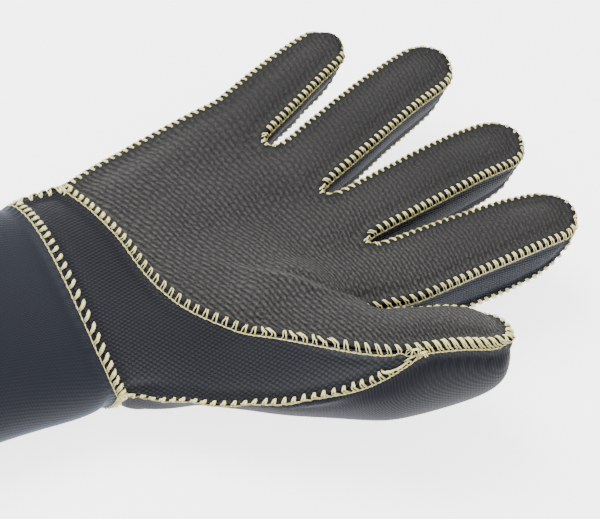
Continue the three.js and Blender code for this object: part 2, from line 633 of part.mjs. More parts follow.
function handSideKey(row, t) {
  if (row === PALM_ROWS) return fingerSideKey("ulnar", 0, 0, t);
  if (t === 0) return handKey("palm", row, 0);
  if (t === SIDE_SEGMENTS) return handKey("back", row, 0);
  if (row === 0 && t === 1) return heelKey(HEEL_STEPS, HEEL_SEGMENTS);
  return key("ulnar_hand", row, t);
}

function crotchSideKey(f, c, t) {
  if (c === 0) return fingerSideKey("radial", f, 0, t);
  if (c === CROTCH_SEGMENTS) return fingerSideKey("ulnar", f + 1, 0, t);
  if (t === 0) return key("palm_crotch", f, c);
  if (t === SIDE_SEGMENTS) return key("back_crotch", f, c);
  return key("crotch_side", f, c, t);
}

function webSideKey(row, t) {
  if (row === PALM_ROWS) return fingerSideKey("radial", FINGERS.length - 1, 0, t);
  if (t === 0) return handKey("palm", row, PALM_COLUMNS);
  if (t === SIDE_SEGMENTS) return handKey("back", row, PALM_COLUMNS);
  return key("web_side", row, t);
}

// Inner places that no section gives: a wall's thickness in from the outer net
function setInner() {
  const normals = new Map();
  for (const faces of panels.values())
    for (const face of faces) {
      const [a, b, c, d] = face.map((k) => outer.get(k));
      const normal = c.clone().sub(a).cross((d ?? a).clone().sub(b)).normalize();
      for (const k of face) normals.set(k, [...(normals.get(k) ?? []), normal]);
    }
  for (const [k, point] of outer) {
    if (inner.has(k) || !normals.has(k)) continue;
    const around = normals.get(k);
    const mean = around.reduce((sum, n) => sum.add(n), vec(0, 0, 0)).normalize();
    const least = Math.min(...around.map((n) => n.dot(mean)));
    inner.set(k, point.clone().addScaledVector(mean, -WALL / Math.max(STEEPEST_BEND, least)));
  }
  const [cornerTop, cornerLow] = [0, HEEL_SEGMENTS].map((t) => inner.get(heelKey(HEEL_STEPS, t)));
  for (let t = 1; t < HEEL_SEGMENTS; t++)
    inner.set(heelKey(HEEL_STEPS, t), cornerTop.clone().lerp(cornerLow, t / HEEL_SEGMENTS));
}

// A closed solid from a panel's faces: outer skin, inner skin and the cut edge between them
function thicken(faces) {
  const directed = new Set();
  for (const face of faces) face.forEach((k, i) => directed.add(k + "|" + face[(i + 1) % face.length]));
  const shift = new Map();
  for (const edge of directed) {
    const [a, b] = edge.split("|");
    if (directed.has(b + "|" + a)) continue;
    const along = outer.get(b).clone().sub(outer.get(a)).normalize();
    for (const k of [a, b]) {
      const through = inner.get(k).clone().sub(outer.get(k)).normalize();
      const into = along.clone().cross(through).normalize();
      shift.set(k, [...(shift.get(k) ?? []), into]);
    }
  }
  const index = new Map();
  const outerPlaces = [];
  const innerPlaces = [];
  for (const face of faces)
    for (const k of face) {
      if (index.has(k)) continue;
      index.set(k, index.size);
      const move = vec(0, 0, 0);
      if (shift.has(k)) {
        const mean = shift.get(k).reduce((sum, n) => sum.add(n), vec(0, 0, 0)).normalize();
        const least = Math.min(...shift.get(k).map((n) => n.dot(mean)));
        move.addScaledVector(mean, SEAM_GAP / 2 / Math.max(SHARPEST_CORNER, least));
      }
      outerPlaces.push(...outer.get(k).clone().add(move).toArray());
      innerPlaces.push(...inner.get(k).clone().add(move).toArray());
    }
  const count = index.size;
  const triangles = [];
  for (const face of faces) {
    const ids = face.map((k) => index.get(k));
    for (let i = 1; i + 1 < ids.length; i++) {
      triangles.push(ids[0], ids[i], ids[i + 1]);
      triangles.push(ids[0] + count, ids[i + 1] + count, ids[i] + count);
    }
  }
  for (const edge of directed) {
    const [a, b] = edge.split("|");
    if (directed.has(b + "|" + a)) continue;
    const [i, j] = [index.get(a), index.get(b)];
    if (a < b) triangles.push(j, i, i + count, j, i + count, j + count);
    else triangles.push(j, i, j + count, i, i + count, j + count);
  }
  const geometry = new THREE.BufferGeometry();
  const places = new Float32Array([...outerPlaces, ...innerPlaces]);
  geometry.setAttribute("position", new THREE.BufferAttribute(places, 3));
  geometry.setIndex(triangles);
  geometry.computeVertexNormals();
  return geometry;
}

// Colours and roughness of the three cloths, and the panels that are not of plain jersey
const GRIP = { color: 0x3a3632, roughness: 0.85, metalness: 0 };
const JERSEY = { color: 0x14161c, roughness: 0.8, metalness: 0 };
const SMOOTH_JERSEY = { color: 0x171b24, roughness: 0.75, metalness: 0 };
const CLOTHS = { palm_panel: GRIP, cuff: SMOOTH_JERSEY };

FINGERS.forEach(setFinger);
setCrotches();
setHandFace("palm");
setHandFace("back");
setHandSides();
setFreeThumb();
setThumbRoot();
setHeel();
const ring = wristRing();
setCuff(ring);
weavePanels(ring);
setInner();

const glove = new THREE.Group();
for (const [name, faces] of panels) {
  const cloth = new THREE.MeshStandardMaterial(CLOTHS[name] ?? JERSEY);
  const mesh = new THREE.Mesh(thicken(faces), cloth);
  mesh.name = name;
  glove.add(mesh);
}
const box = new THREE.Box3().setFromObject(glove);
glove.position.set(-(box.min.x + box.max.x) / 2, -(box.min.y + box.max.y) / 2, -box.min.z);

export default glove;
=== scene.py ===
"""A diving glove of foam rubber, lying on its back with the palm up.

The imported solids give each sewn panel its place. Every panel is rounded from its solid and gets a raised
edge along its seams, its own cloth and the thread that holds it to its neighbours. Lengths are in metres,
unless a name ends in _mm.
"""

import logging
import math
import random
from dataclasses import dataclass, field
from enum import Enum
from functools import reduce
from typing import Callable, Iterable, Sequence

import bmesh
import bpy
import numpy as np
from mathutils import Matrix, Vector
from mathutils.bvhtree import BVHTree
from mathutils.kdtree import KDTree


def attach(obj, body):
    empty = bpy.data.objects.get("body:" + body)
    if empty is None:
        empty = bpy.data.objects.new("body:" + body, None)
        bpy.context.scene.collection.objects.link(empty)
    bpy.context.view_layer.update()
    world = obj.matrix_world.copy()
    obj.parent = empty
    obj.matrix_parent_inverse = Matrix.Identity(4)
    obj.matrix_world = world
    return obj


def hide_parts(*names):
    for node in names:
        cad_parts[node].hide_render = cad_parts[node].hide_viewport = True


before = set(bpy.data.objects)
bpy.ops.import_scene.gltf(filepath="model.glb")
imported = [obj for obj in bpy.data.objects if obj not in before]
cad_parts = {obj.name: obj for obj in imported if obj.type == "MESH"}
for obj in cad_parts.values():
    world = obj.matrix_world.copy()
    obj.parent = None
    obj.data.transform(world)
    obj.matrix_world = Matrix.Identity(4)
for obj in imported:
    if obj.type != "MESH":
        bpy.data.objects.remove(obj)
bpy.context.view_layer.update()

LOG = logging.getLogger("diving_glove")
MM = 0.001
BODY = "root"

# How the solids are read
JOIN_ANGLE = math.radians(50)
JOIN_SHAPE = math.radians(120)
SIGHT_LINES = 300
SIGHT_START = 0.4 * MM
VOTE_ROUNDS = 6
WHOLLY_OUTER = 0.999
SHORTEST_RIM = 12
FREE_EDGE = 2.0 * MM

# Raised edge along a seam: distance from the seam, and width
LIP_AT, LIP_WIDTH = 1.0 * MM, 1.5 * MM
VALLEY_AT, VALLEY_WIDTH = 3.8 * MM, 1.7 * MM

# Seams
SHORTEST_RUN = 8
SAME_SEAM = 1.2 * MM
FIRST_STITCH, LAST_STITCH = 1.2 * MM, 0.3 * MM
STRIPS = ("little_ring_strip", "ring_middle_strip", "middle_index_strip", "index_thumb_strip")
ROWS = ("places", "normals", "upper", "lower")
NEAR_SIDE, TOP = (0.0, -1.0, 0.0), (0.0, 0.0, 1.0)
FINGERWARD, THUMBWARD = (1.0, 0.0, 0.0), (0.0, -1.0, 0.0)

# Thread. Pairs are the ends of a range of chance, and swells and painted shades run along a strand; a painted
# shade of 1 is fully lit.
HOVER = 1.2 * MM
LEG_POINTS = 10
LEG_SUNK = 0.1
LEG_MARKS, LEG_SWELL = (0.0, 0.14, 0.35, 1.0), (0.6, 1.05, 1.15)
# Painted shade along a leg: lit at its top on the ridge, darkened toward its foot as painted shadow.
LEG_SHADES = (0.0, 0.35, 1.0), (1.0, 0.95, 0.15)
LEAN_CHANCE, SIZE_CHANCE = (0.42, 0.58), (0.92, 1.08)
CHAIN_SHARES = (0.0, 0.25, 0.5, 0.75)
CHAIN_LIFT = 0.7
# Painted shade of the chain, which lies low along the stitches' feet.
CHAIN_SHADE = 0.7
KNOT_STRANDS = 7
KNOT_REACH = 1.25 * MM
KNOT_SIZES, KNOT_SPANS, KNOT_LIFTS = (0.24, 0.36), (0.7, 1.25), (1.0, 2.6)
KNOT_TILT, KNOT_DRIFT, KNOT_BASE = 0.4, 0.35, 0.3
KNOT_SWELL = np.sin(np.linspace(0.5, math.pi - 0.5, LEG_POINTS))

MIX_SHARE, MIX_LOW, MIX_HIGH, MIX_RESULT = 0, 6, 7, 2

Array = np.ndarray
Socket = bpy.types.NodeSocket
Mesh, Material = bpy.types.Mesh, bpy.types.Material


# --- Node helper ---


class Shading:
    """Builds a node material step by step."""

    def __init__(self, name: str) -> None:
        """Starts an empty material with a Principled shader."""
        self.material = bpy.data.materials.new(name)
        self.material.use_nodes = True
        self.tree = self.material.node_tree
        self.shader = self.tree.nodes["Principled BSDF"]

    def node(self, kind: str, inputs: dict | None = None, **settings: object) -> bpy.types.Node:
        """Adds a node.

        Args:
            kind: The node's type, such as ShaderNodeMath.
            inputs: Values or sockets by input name or number.
            **settings: The node's own properties.

        Returns:
            The new node.
        """
        made = self.tree.nodes.new(kind)
        for key, value in settings.items():
            setattr(made, key, value)
        for key, value in (inputs or {}).items():
            self.feed(made.inputs[key], value)
        return made

    def feed(self, socket: Socket, value: object) -> None:
        """Links a socket into an input, or sets the input's own value."""
        if isinstance(value, Socket):
            self.tree.links.new(value, socket)
        else:
            socket.default_value = value

    def math(self, operation: str, *values: object) -> Socket:
        """Adds a Math node and returns its result."""
        return self.node("ShaderNodeMath", dict(enumerate(values)), operation=operation).outputs[0]

    def plus(self, *values: object) -> Socket:
        """Adds up two or more values, in their order."""
        return reduce(lambda a, b: self.math("ADD", a, b), values)

    def times(self, *values: object) -> Socket:
        """Multiplies two or more values, in their order."""
        return reduce(lambda a, b: self.math("MULTIPLY", a, b), values)

    def off_middle(self, value: Socket) -> Socket:
        """Returns how far a repeating value is from the middle of its step, from 0 to 1."""
        middle = self.math("SUBTRACT", self.math("FRACT", value), 0.5)
        return self.math("ABSOLUTE", self.times(middle, 2.0))

    def cloth(self) -> Socket:
        """Returns the cloth's own flat coordinates."""
        return self.node("ShaderNodeUVMap", uv_map="cloth").outputs[0]

    def axes(self, vector: Socket) -> Sequence[Socket]:
        """Returns the three axes of a vector."""
        return self.node("ShaderNodeSeparateXYZ", {0: vector}).outputs

    def attribute(self, name: str) -> Socket:
        """Returns a value that the mesh carries."""
        return self.node("ShaderNodeAttribute", attribute_name=name).outputs["Fac"]

    def blend(self, share: object, low: object, high: object) -> Socket:
        """Mixes two colours.

        Args:
            share: How much of the second colour there is.
            low: First colour, or its socket.
            high: Second colour, or its socket.

        Returns:
            The mixed colour.
        """
        mix = self.node("ShaderNodeMix", data_type="RGBA")
        for number, value in ((MIX_SHARE, share), (MIX_LOW, low), (MIX_HIGH, high)):
            if not isinstance(value, (Socket, float)):
                value = (*value, 1.0)
            self.feed(mix.inputs[number], value)
        return mix.outputs[MIX_RESULT]

    def span(self, value: object, low: float, high: float, to_low: float = 0.0, to_high: float = 1.0) -> Socket:
        """Maps a value smoothly from one range, low to high, to another one."""
        ends = {"Value": value, "From Min": low, "From Max": high, "To Min": to_low, "To Max": to_high}
        return self.node("ShaderNodeMapRange", ends, interpolation_type="SMOOTHSTEP").outputs["Result"]

    def noise(self, where: object, scale: float, detail: float = 2.0, rough: float = 0.5) -> Socket:
        """Adds a Noise texture and returns its value."""
        inputs = {"Vector": where, "Scale": scale, "Detail": detail, "Roughness": rough}
        return self.node("ShaderNodeTexNoise", inputs).outputs["Fac"]

    def relief(self, height: object, depth: float, strength: float = 1.0) -> None:
        """Bumps the shader by a height that runs from 0 to 1."""
        bump = self.node("ShaderNodeBump", {"Height": height, "Distance": depth, "Strength": strength})
        self.feed(self.shader.inputs["Normal"], bump.outputs["Normal"])

    def wear(self, **values: object) -> Material:
        """Sets the shader's inputs by name, with _ for a space, and returns the material."""
        for key, value in values.items():
            self.feed(self.shader.inputs[key.replace("_", " ")], value)
        return self.material


# --- Finishes ---


@dataclass(frozen=True)
class GripCloth:
    """Embossed palm cloth: staggered rows of small raised dashes that run across the glove.

    Its looks change along the reach, a line that leans from the heel to the far fingertips, and a painted shade
    darkens it toward the fingertips.
    """

    name: str = "grip_cloth"
    row_pitch: float = 1.75 * MM
    dash_pitch: float = 2.7 * MM
    palm_lean: float = 0.4245
    finger_lean: float = -0.1405
    lean_range: tuple = (-0.05, 0.085)
    drift_scale: float = 70.0
    drift_sway: float = 1.6
    jitter_scale: float = 520.0
    jitter_sway: float = 0.55
    stagger: float = 0.5
    stagger_chance: float = 0.35
    ridge_top: float = 0.1
    bead_top: float = 0.2
    bead_share: float = 0.6
    dash_middle: float = 0.4
    dash_shade: float = 0.6
    grain_scale: float = 1250.0
    grain_range: tuple = (0.32, 0.68)
    grain_share: float = 0.45
    patch_scale: float = 26.0
    patch_shade: float = 0.8
    reach_lean: float = 0.9
    contrast_range: tuple = (0.01, 0.09)
    palm_contrast: float = 1.3
    finger_contrast: float = 0.7
    # Painted shade along the reach: the colour's factor on the palm and on the far fingers.
    shade_range: tuple = (0.0, 0.1)
    palm_shade: float = 0.97
    finger_shade: float = 0.46
    crease_shade: float = 0.3
    # Colours of the gaps and of the dashes' tops: the darker gaps are painted shade between the raised dashes.
    low: tuple = (0.0065, 0.0064, 0.0067)
    high: tuple = (0.09, 0.086, 0.0825)
    edge: tuple = (0.004, 0.0044, 0.006)
    edge_range: tuple = (1.2, 2.7)
    depth: float = 0.55 * MM
    roughness: float = 0.62
    specular: float = 0.3

    def material(self) -> Material:
        """Returns the cloth's material."""
        s = Shading(self.name)
        cloth = s.cloth()
        axes = s.axes(cloth)
        drift = s.math("SUBTRACT", s.noise(cloth, self.drift_scale), 0.5)
        jitter = s.noise(cloth, self.jitter_scale, 1.0)
        sway = s.plus(s.times(drift, self.drift_sway), s.times(jitter, self.jitter_sway))
        lean = s.span(axes[0], *self.lean_range, self.palm_lean, self.finger_lean)
        across_rows = s.plus(axes[0], s.times(axes[1], lean))
        row = s.plus(s.math("DIVIDE", across_rows, self.row_pitch), sway)
        number = s.math("FLOOR", row)
        chance = s.node("ShaderNodeTexWhiteNoise", {"W": number}, noise_dimensions="1D").outputs[0]
        stagger = s.plus(s.times(number, self.stagger), s.times(chance, self.stagger_chance))
        column = s.plus(s.math("DIVIDE", axes[1], self.dash_pitch), s.math("SUBTRACT", stagger, sway))
        ridge = s.span(s.off_middle(row), 1.0, self.ridge_top)
        bead = s.span(s.off_middle(column), 1.0, self.bead_top)
        dash = s.times(ridge, s.plus(s.times(bead, self.bead_share), 1.0 - self.bead_share))
        rough = s.times(s.span(s.noise(cloth, self.grain_scale, 3.0, 0.7), *self.grain_range), self.grain_share)
        reach = s.plus(axes[0], s.times(axes[1], self.reach_lean))
        contrast = s.span(reach, *self.contrast_range, self.palm_contrast, self.finger_contrast)
        dash = s.plus(s.times(s.math("SUBTRACT", dash, self.dash_middle), contrast), self.dash_middle)
        inside = s.span(s.attribute("rim_mm"), *self.edge_range)
        s.relief(s.times(s.plus(dash, rough), inside), self.depth)
        # Painted highlight: a pale line along the crest of the palm's fold.
        crease = s.times(s.attribute("crease"), self.crease_shade)
        patches = s.span(s.noise(cloth, self.patch_scale, 3.0), 0.3, 0.7, self.patch_shade)
        # Painted shade: the colour darkens from the palm toward the fingertips.
        fade = s.span(reach, *self.shade_range, self.palm_shade, self.finger_shade)
        # Painted shade and highlight: the colour runs from the dark gaps to the pale tops of the dashes, with
        # grain, random patches, the crease highlight and the shade along the reach.
        top = s.times(s.plus(s.times(dash, self.dash_shade), rough, crease), patches, fade)
        colour = s.blend(inside, self.edge, s.blend(top, self.low, self.high))
        return s.wear(Base_Color=colour, Roughness=self.roughness, Specular_IOR_Level=self.specular)


@dataclass(frozen=True)
class Jersey:
    """Fine mesh-knitted jersey on foam rubber."""

    name: str = "jersey"
    mesh_pitch: float = 1.05 * MM
    mesh_angles: tuple = (20, 80)
    mesh_range: tuple = (0.25, 0.85)
    sway_scale: float = 60.0
    sway: float = 3.0
    lint_scale: float = 1600.0
    lint_share: float = 0.3
    patch_scale: float = 18.0
    patch_shade: float = 0.75
    low: tuple = (0.001, 0.0012, 0.0022)
    high: tuple = (0.0235, 0.025, 0.0328)
    sheen: float = 0.04
    sheen_tint: tuple = (0.55, 0.68, 1.0, 1.0)
    sheen_roughness: float = 0.35
    roughness: float = 0.6
    specular: float = 0.2
    depth: float = 0.22 * MM

    def material(self) -> Material:
        """Returns the cloth's material."""
        s = Shading(self.name)
        cloth = s.cloth()
        axes = s.axes(cloth)
        sway = s.times(s.noise(cloth, self.sway_scale), self.sway)
        turn = 2 * math.pi / self.mesh_pitch
        waves = []
        for angle in map(math.radians, self.mesh_angles):
            x = s.times(axes[0], turn * math.cos(angle))
            y = s.times(axes[1], turn * math.sin(angle))
            waves.append(s.math("SINE", s.plus(x, y, sway)))
        knit = s.span(s.times(s.plus(*waves, 2.0), 0.25), *self.mesh_range)
        s.relief(knit, self.depth)
        lint = s.noise(cloth, self.lint_scale, 3.0, 0.6)
        shade = s.plus(s.times(knit, 1.0 - self.lint_share), s.times(lint, self.lint_share))
        patches = s.span(s.noise(cloth, self.patch_scale), 0.3, 0.7, self.patch_shade)
        return s.wear(
            Base_Color=s.blend(s.times(shade, patches), self.low, self.high),
            Roughness=self.roughness,
            Specular_IOR_Level=self.specular,
            Sheen_Weight=self.sheen,
            Sheen_Roughness=self.sheen_roughness,
            Sheen_Tint=self.sheen_tint,
        )


@dataclass(frozen=True)
class Thread:
    """Cream polyester sewing thread, lightly twisted, with painted light: paler where it faces up and where it
    lies on top of a ridge, with painted shade underneath and down toward each leg's foot.
    """

    name: str = "cream_thread"
    shadow: tuple = (0.17, 0.13, 0.022)
    light: tuple = (1.0, 0.92, 0.4)
    twist: float = 1.1 * MM
    twist_depth: float = 0.08 * MM
    # Painted shade on the thread's underside: the range of facing, from down to up, and the colour's share
    # where it faces down.
    facing_range: tuple = (-0.7, 0.9)
    under_shade: float = 0.3
    ply_shade: float = 0.2
    ply_base: float = 0.85
    roughness: float = 0.42
    specular: float = 0.5

    def material(self) -> Material:
        """Returns the thread's material."""
        s = Shading(self.name)
        way = s.plus(*s.axes(s.node("ShaderNodeTexCoord").outputs["Object"]))
        ply = s.times(s.plus(s.math("SINE", s.times(way, 2 * math.pi / self.twist)), 1.0), 0.5)
        s.relief(ply, self.twist_depth, 0.5)
        # Painted light and shade: parts that face up keep the full colour, parts that face down get
        # under_shade, times the painted shade carried along each strand.
        facing = s.axes(s.node("ShaderNodeNewGeometry").outputs["Normal"])[2]
        painted_top_light = s.span(facing, *self.facing_range, self.under_shade)
        shade = s.times(painted_top_light, s.attribute("rubbed"), s.plus(s.times(ply, self.ply_shade), self.ply_base))
        colour = s.blend(shade, self.shadow, self.light)
        return s.wear(Base_Color=colour, Roughness=self.roughness, Specular_IOR_Level=self.specular)


@dataclass(frozen=True)
class FloorPaint:
    """Plain pale floor."""

    name: str = "pale_floor"
    colour: tuple = (0.93, 0.93, 0.93, 1.0)
    glow: float = 3.2

    def material(self) -> Material:
        """Returns the floor's material."""
        return Shading(self.name).wear(
            Base_Color=self.colour,
            Roughness=0.9,
            Specular_IOR_Level=0.1,
            Emission_Color=self.colour,
            Emission_Strength=self.glow,
        )


GRIP = GripCloth()
HEEL_KNIT = Jersey()
CUFF_KNIT = Jersey(
    name="smooth_jersey",
    mesh_pitch=0.85 * MM,
    depth=0.06 * MM,
    low=(0.0062, 0.0074, 0.0118),
    high=(0.0152, 0.0176, 0.0262),
    sheen=0.26,
    sheen_tint=(0.42, 0.6, 1.0, 1.0),
)
# A darker copy of the jersey for the side strips: painted shade, which keeps them dark under the floor's glow.
SHADED_SIDE_KNIT = Jersey(
    name="side_jersey",
    low=(0.0014, 0.0018, 0.004),
    high=(0.0088, 0.0106, 0.0185),
    sheen=0.05,
    sheen_tint=(0.4, 0.56, 1.0, 1.0),
    specular=0.07,
)
BACK_KNIT = Jersey(
    name="back_jersey",
    mesh_pitch=1.0 * MM,
    depth=0.12 * MM,
    low=(0.0052, 0.0058, 0.0082),
    high=(0.0145, 0.016, 0.0225),
    specular=0.16,
)


# --- Shared helpers ---


def unit(rows: Array) -> Array:
    """Returns the rows scaled to length 1."""
    return rows / np.maximum(np.linalg.norm(rows, axis=-1, keepdims=True), 1e-12)


def bell(values: Array, middle: float, width: float) -> Array:
    """Returns a soft bump of height 1 round a middle, at each value."""
    return np.exp(-(((values - middle) / width) ** 2))


def ramp(value: float, low: float, high: float) -> float:
    """Returns 0 at low, 1 at high, and a straight share between them."""
    return min(1.0, max(0.0, (value - low) / (high - low)))


def search_tree(places: Iterable[Sequence[float]]) -> KDTree:
    """Makes a search tree.

    Args:
        places: Places, numbered in their order.

    Returns:
        The balanced tree.
    """
    listed = list(places)
    tree = KDTree(max(1, len(listed)))
    for number, place in enumerate(listed):
        tree.insert(place, number)
    tree.balance()
    return tree


def face_tree(skins: Iterable[tuple[Iterable, Iterable]]) -> BVHTree:
    """Makes a search tree of faces.

    Args:
        skins: Places of each skin, and its faces as vertex numbers.

    Returns:
        The tree.
    """
    vertices, faces = [], []
    for places, polygons in skins:
        first = len(vertices)
        vertices.extend(map(tuple, places))
        faces.extend([first + i for i in corners] for corners in polygons)
    return BVHTree.FromPolygons(vertices, faces)


def read_places(mesh: Mesh) -> Array:
    """Returns the places of a mesh's vertices."""
    places = np.empty(len(mesh.vertices) * 3)
    mesh.vertices.foreach_get("co", places)
    return places.reshape(-1, 3)


def write_places(mesh: Mesh, places: Array) -> None:
    """Moves a mesh's vertices."""
    mesh.vertices.foreach_set("co", places.ravel())
    mesh.update()


def write_values(mesh: Mesh, name: str, values: Sequence[float]) -> None:
    """Gives each vertex a value."""
    mesh.attributes.new(name, "FLOAT", "POINT").data.foreach_set("value", values)


def linked(name: str, data: bpy.types.ID) -> bpy.types.Object:
    """Returns a new object in the scene."""
    made = bpy.data.objects.new(name, data)
    bpy.context.scene.collection.objects.link(made)
    return made


def evaluated(holder: bpy.types.Object) -> Mesh:
    """Returns an object's final mesh, and removes the object."""
    graph = bpy.context.evaluated_depsgraph_get()
    mesh = bpy.data.meshes.new_from_object(holder.evaluated_get(graph))
    bpy.data.objects.remove(holder)
    return mesh


def coloured(mesh: Mesh, material: Material) -> Mesh:
    """Returns a mesh, smooth and with one material."""
    mesh.materials.clear()
    mesh.materials.append(material)
    mesh.shade_smooth()
    return mesh


# --- Panels ---


class Lay(Enum):
    """How the cloth is laid on a panel."""

    FLAT = "straight down on the palm's plane"
    WRAPPED = "round the near side, from the front down to the back of the hand"
    FITTED = "on the panel's own mean plane"
    ROUND = "wrapped round the long axis"
    ALONG = "along the palm's seam, and straight down from it"


def polyline_loops(edges: Iterable[bmesh.types.BMEdge]) -> list[list[int]]:
    """Chains edges into loops of vertex numbers.

    Args:
        edges: Edges that form closed loops or open runs.

    Returns:
        One list of vertex numbers per loop, in order. A closed loop doesn't repeat its first vertex.
    """
    links: dict[int, list[int]] = {}
    for edge in edges:
        a, b = (v.index for v in edge.verts)
        links.setdefault(a, []).append(b)
        links.setdefault(b, []).append(a)
    loops = []
    while links:
        start = next((v for v, near in links.items() if len(near) == 1), next(iter(links)))
        loop = [start]
        while True:
            near = links.get(loop[-1], [])
            if not near:
                break
            following = near.pop()
            links[following].remove(loop[-1])
            if not near:
                links.pop(loop[-1], None)
            if following == start:
                break
            loop.append(following)
        for v in [v for v, near in links.items() if not near]:
            links.pop(v)
        loops.append(loop)
    return loops


@dataclass(frozen=True)
class Nudge:
    """Soft shift of all the cloth near a point, in millimetres."""

    centre: tuple
    reach: float
    shift: tuple

    def apply(self, places: Array) -> Array:
        """Returns the shift of each place, in metres."""
        away = np.linalg.norm(places / MM - self.centre, axis=1)
        return bell(away, 0.0, self.reach)[:, None] * np.array(self.shift) * MM


# Centre, reach and shift of each soft shift
SHIFTS = (
    (85, 67, 33, 14, 0, -1.0, -0.6), (114, 45, 33, 16, 0.8, -1.9, -0.6), (120, 8, 33, 15, -0.6, -1.6, -1.6),
    (120, -25, 33, 15, -0.4, -2.0, -1.4), (98, -40, 18, 22, 0.4, -1.4, 0), (57, -65, 50, 15, -1.4, -1.2, -4.1),
    (50, -71, 34, 13, 2.8, -0.6, 0), (30, -36, 38, 7, 0, 0.4, -2.6), (42, -42, 41, 7, 0, 0.4, -2.8),
    (53, -48, 42, 7, 0, 0.4, -2.0), (15, -64, 24, 28, 0, -1.5, -0.4), (-50, -22, 10, 9, 0, 1.2, 0.6),
    (-50, 47, 30, 20, 0, -1.2, -0.4), (-5, 58, 25, 24, 0, -1.2, -0.4), (52, 45, 14, 9, -0.4, 1.5, 0),
    (68, 52, 14, 9, -0.4, 1.3, 0), (81, 58, 18, 8, -0.2, 0.6, 0), (86, 26, 14, 12, -0.1, 0.4, 0),
    (62, -38, 12, 7, 0, -0.9, 1.6), (76, -38, 12, 7, 0, -0.9, 1.6), (90, -37, 13, 7, 0, -0.9, 1.6),
    (104, -36, 14, 7, -0.3, -0.9, 1.4), (-115, -35, 12, 25, 0, -2.0, -0.5), (-46, -25, 15, 8, 0, 1.5, 3.0),
    (-34, -33, 18, 8, 0, 1.3, 2.6), (-21, -41, 21, 8, 0, 0.6, 1.4), (-40, -30, 5, 10, 0, -0.6, 0),
    (-27, -42, 10, 9, 0, -1.6, -0.8), (-10, -50, 12, 15, 0, -1.6, -0.9),
)
NUDGES = tuple(Nudge(row[:3], row[3], row[4:]) for row in SHIFTS)


@dataclass(frozen=True)
class Fold:
    """Soft ridge in the cloth along a line, with a valley on the side of the fingers, in millimetres.

    The line's points are x, y and how much of the fold is there. The valley and the crest are shares of the
    ridge. The fold fades in from low upward, over fade.
    """

    line: tuple
    rise: float
    width: float
    low: float = 25.0
    fade: float = 6.0
    crest_width: float = 0.5
    valley_depth: float = 0.8
    valley_at: float = 2.2
    valley_width: float = 1.3

    def measure(self, places: Array) -> tuple[Array, Array]:
        """Measures places against the line.

        Args:
            places: The places, in metres.

        Returns:
            Their distances from the line, in millimetres, and how much of the fold is there.
        """

        flat = places[:, :2] / MM
        best = np.full(len(flat), 1e9)
        side = np.zeros(len(flat))
        level = np.zeros(len(flat))
        for a, b in zip(self.line[:-1], self.line[1:]):
            start, run = np.array(a[:2]), np.array(b[:2]) - np.array(a[:2])
            share = np.clip((flat - start) @ run / (run @ run), 0.0, 1.0)
            away = flat - start - share[:, None] * run
            distance = np.linalg.norm(away, axis=1)
            nearer = distance < best
            best = np.where(nearer, distance, best)
            side = np.where(nearer, np.sign(run[0] * away[:, 1] - run[1] * away[:, 0]) * distance, side)
            level = np.where(nearer, a[2] + (b[2] - a[2]) * share, level)
        above = np.clip((places[:, 2] / MM - self.low) / self.fade, 0.0, 1.0)
        return side, level * above

    def crest(self, places: Array) -> Array:
        """Returns how near each place is to the top of the ridge, from 0 to 1."""
        side, level = self.measure(places)
        return level * bell(side, 0.0, self.crest_width * self.width)

    def apply(self, places: Array) -> Array:
        """Returns the upward shift of each place, in metres."""
        side, level = self.measure(places)
        valley = bell(side, self.valley_at * self.width, self.valley_width * self.width)
        shift = np.zeros_like(places)
        shift[:, 2] = (bell(side, 0.0, self.width) - self.valley_depth * valley) * level * self.rise * MM
        return shift


PALM_CREASE = ((-12, 2, 0.0), (-3, -8, 0.5), (6, -19, 1.0), (17, -30, 1.0), (27, -37, 0.4), (33, -40, 0.0))
FOLDS = (Fold(PALM_CREASE, rise=1.5, width=1.6),)


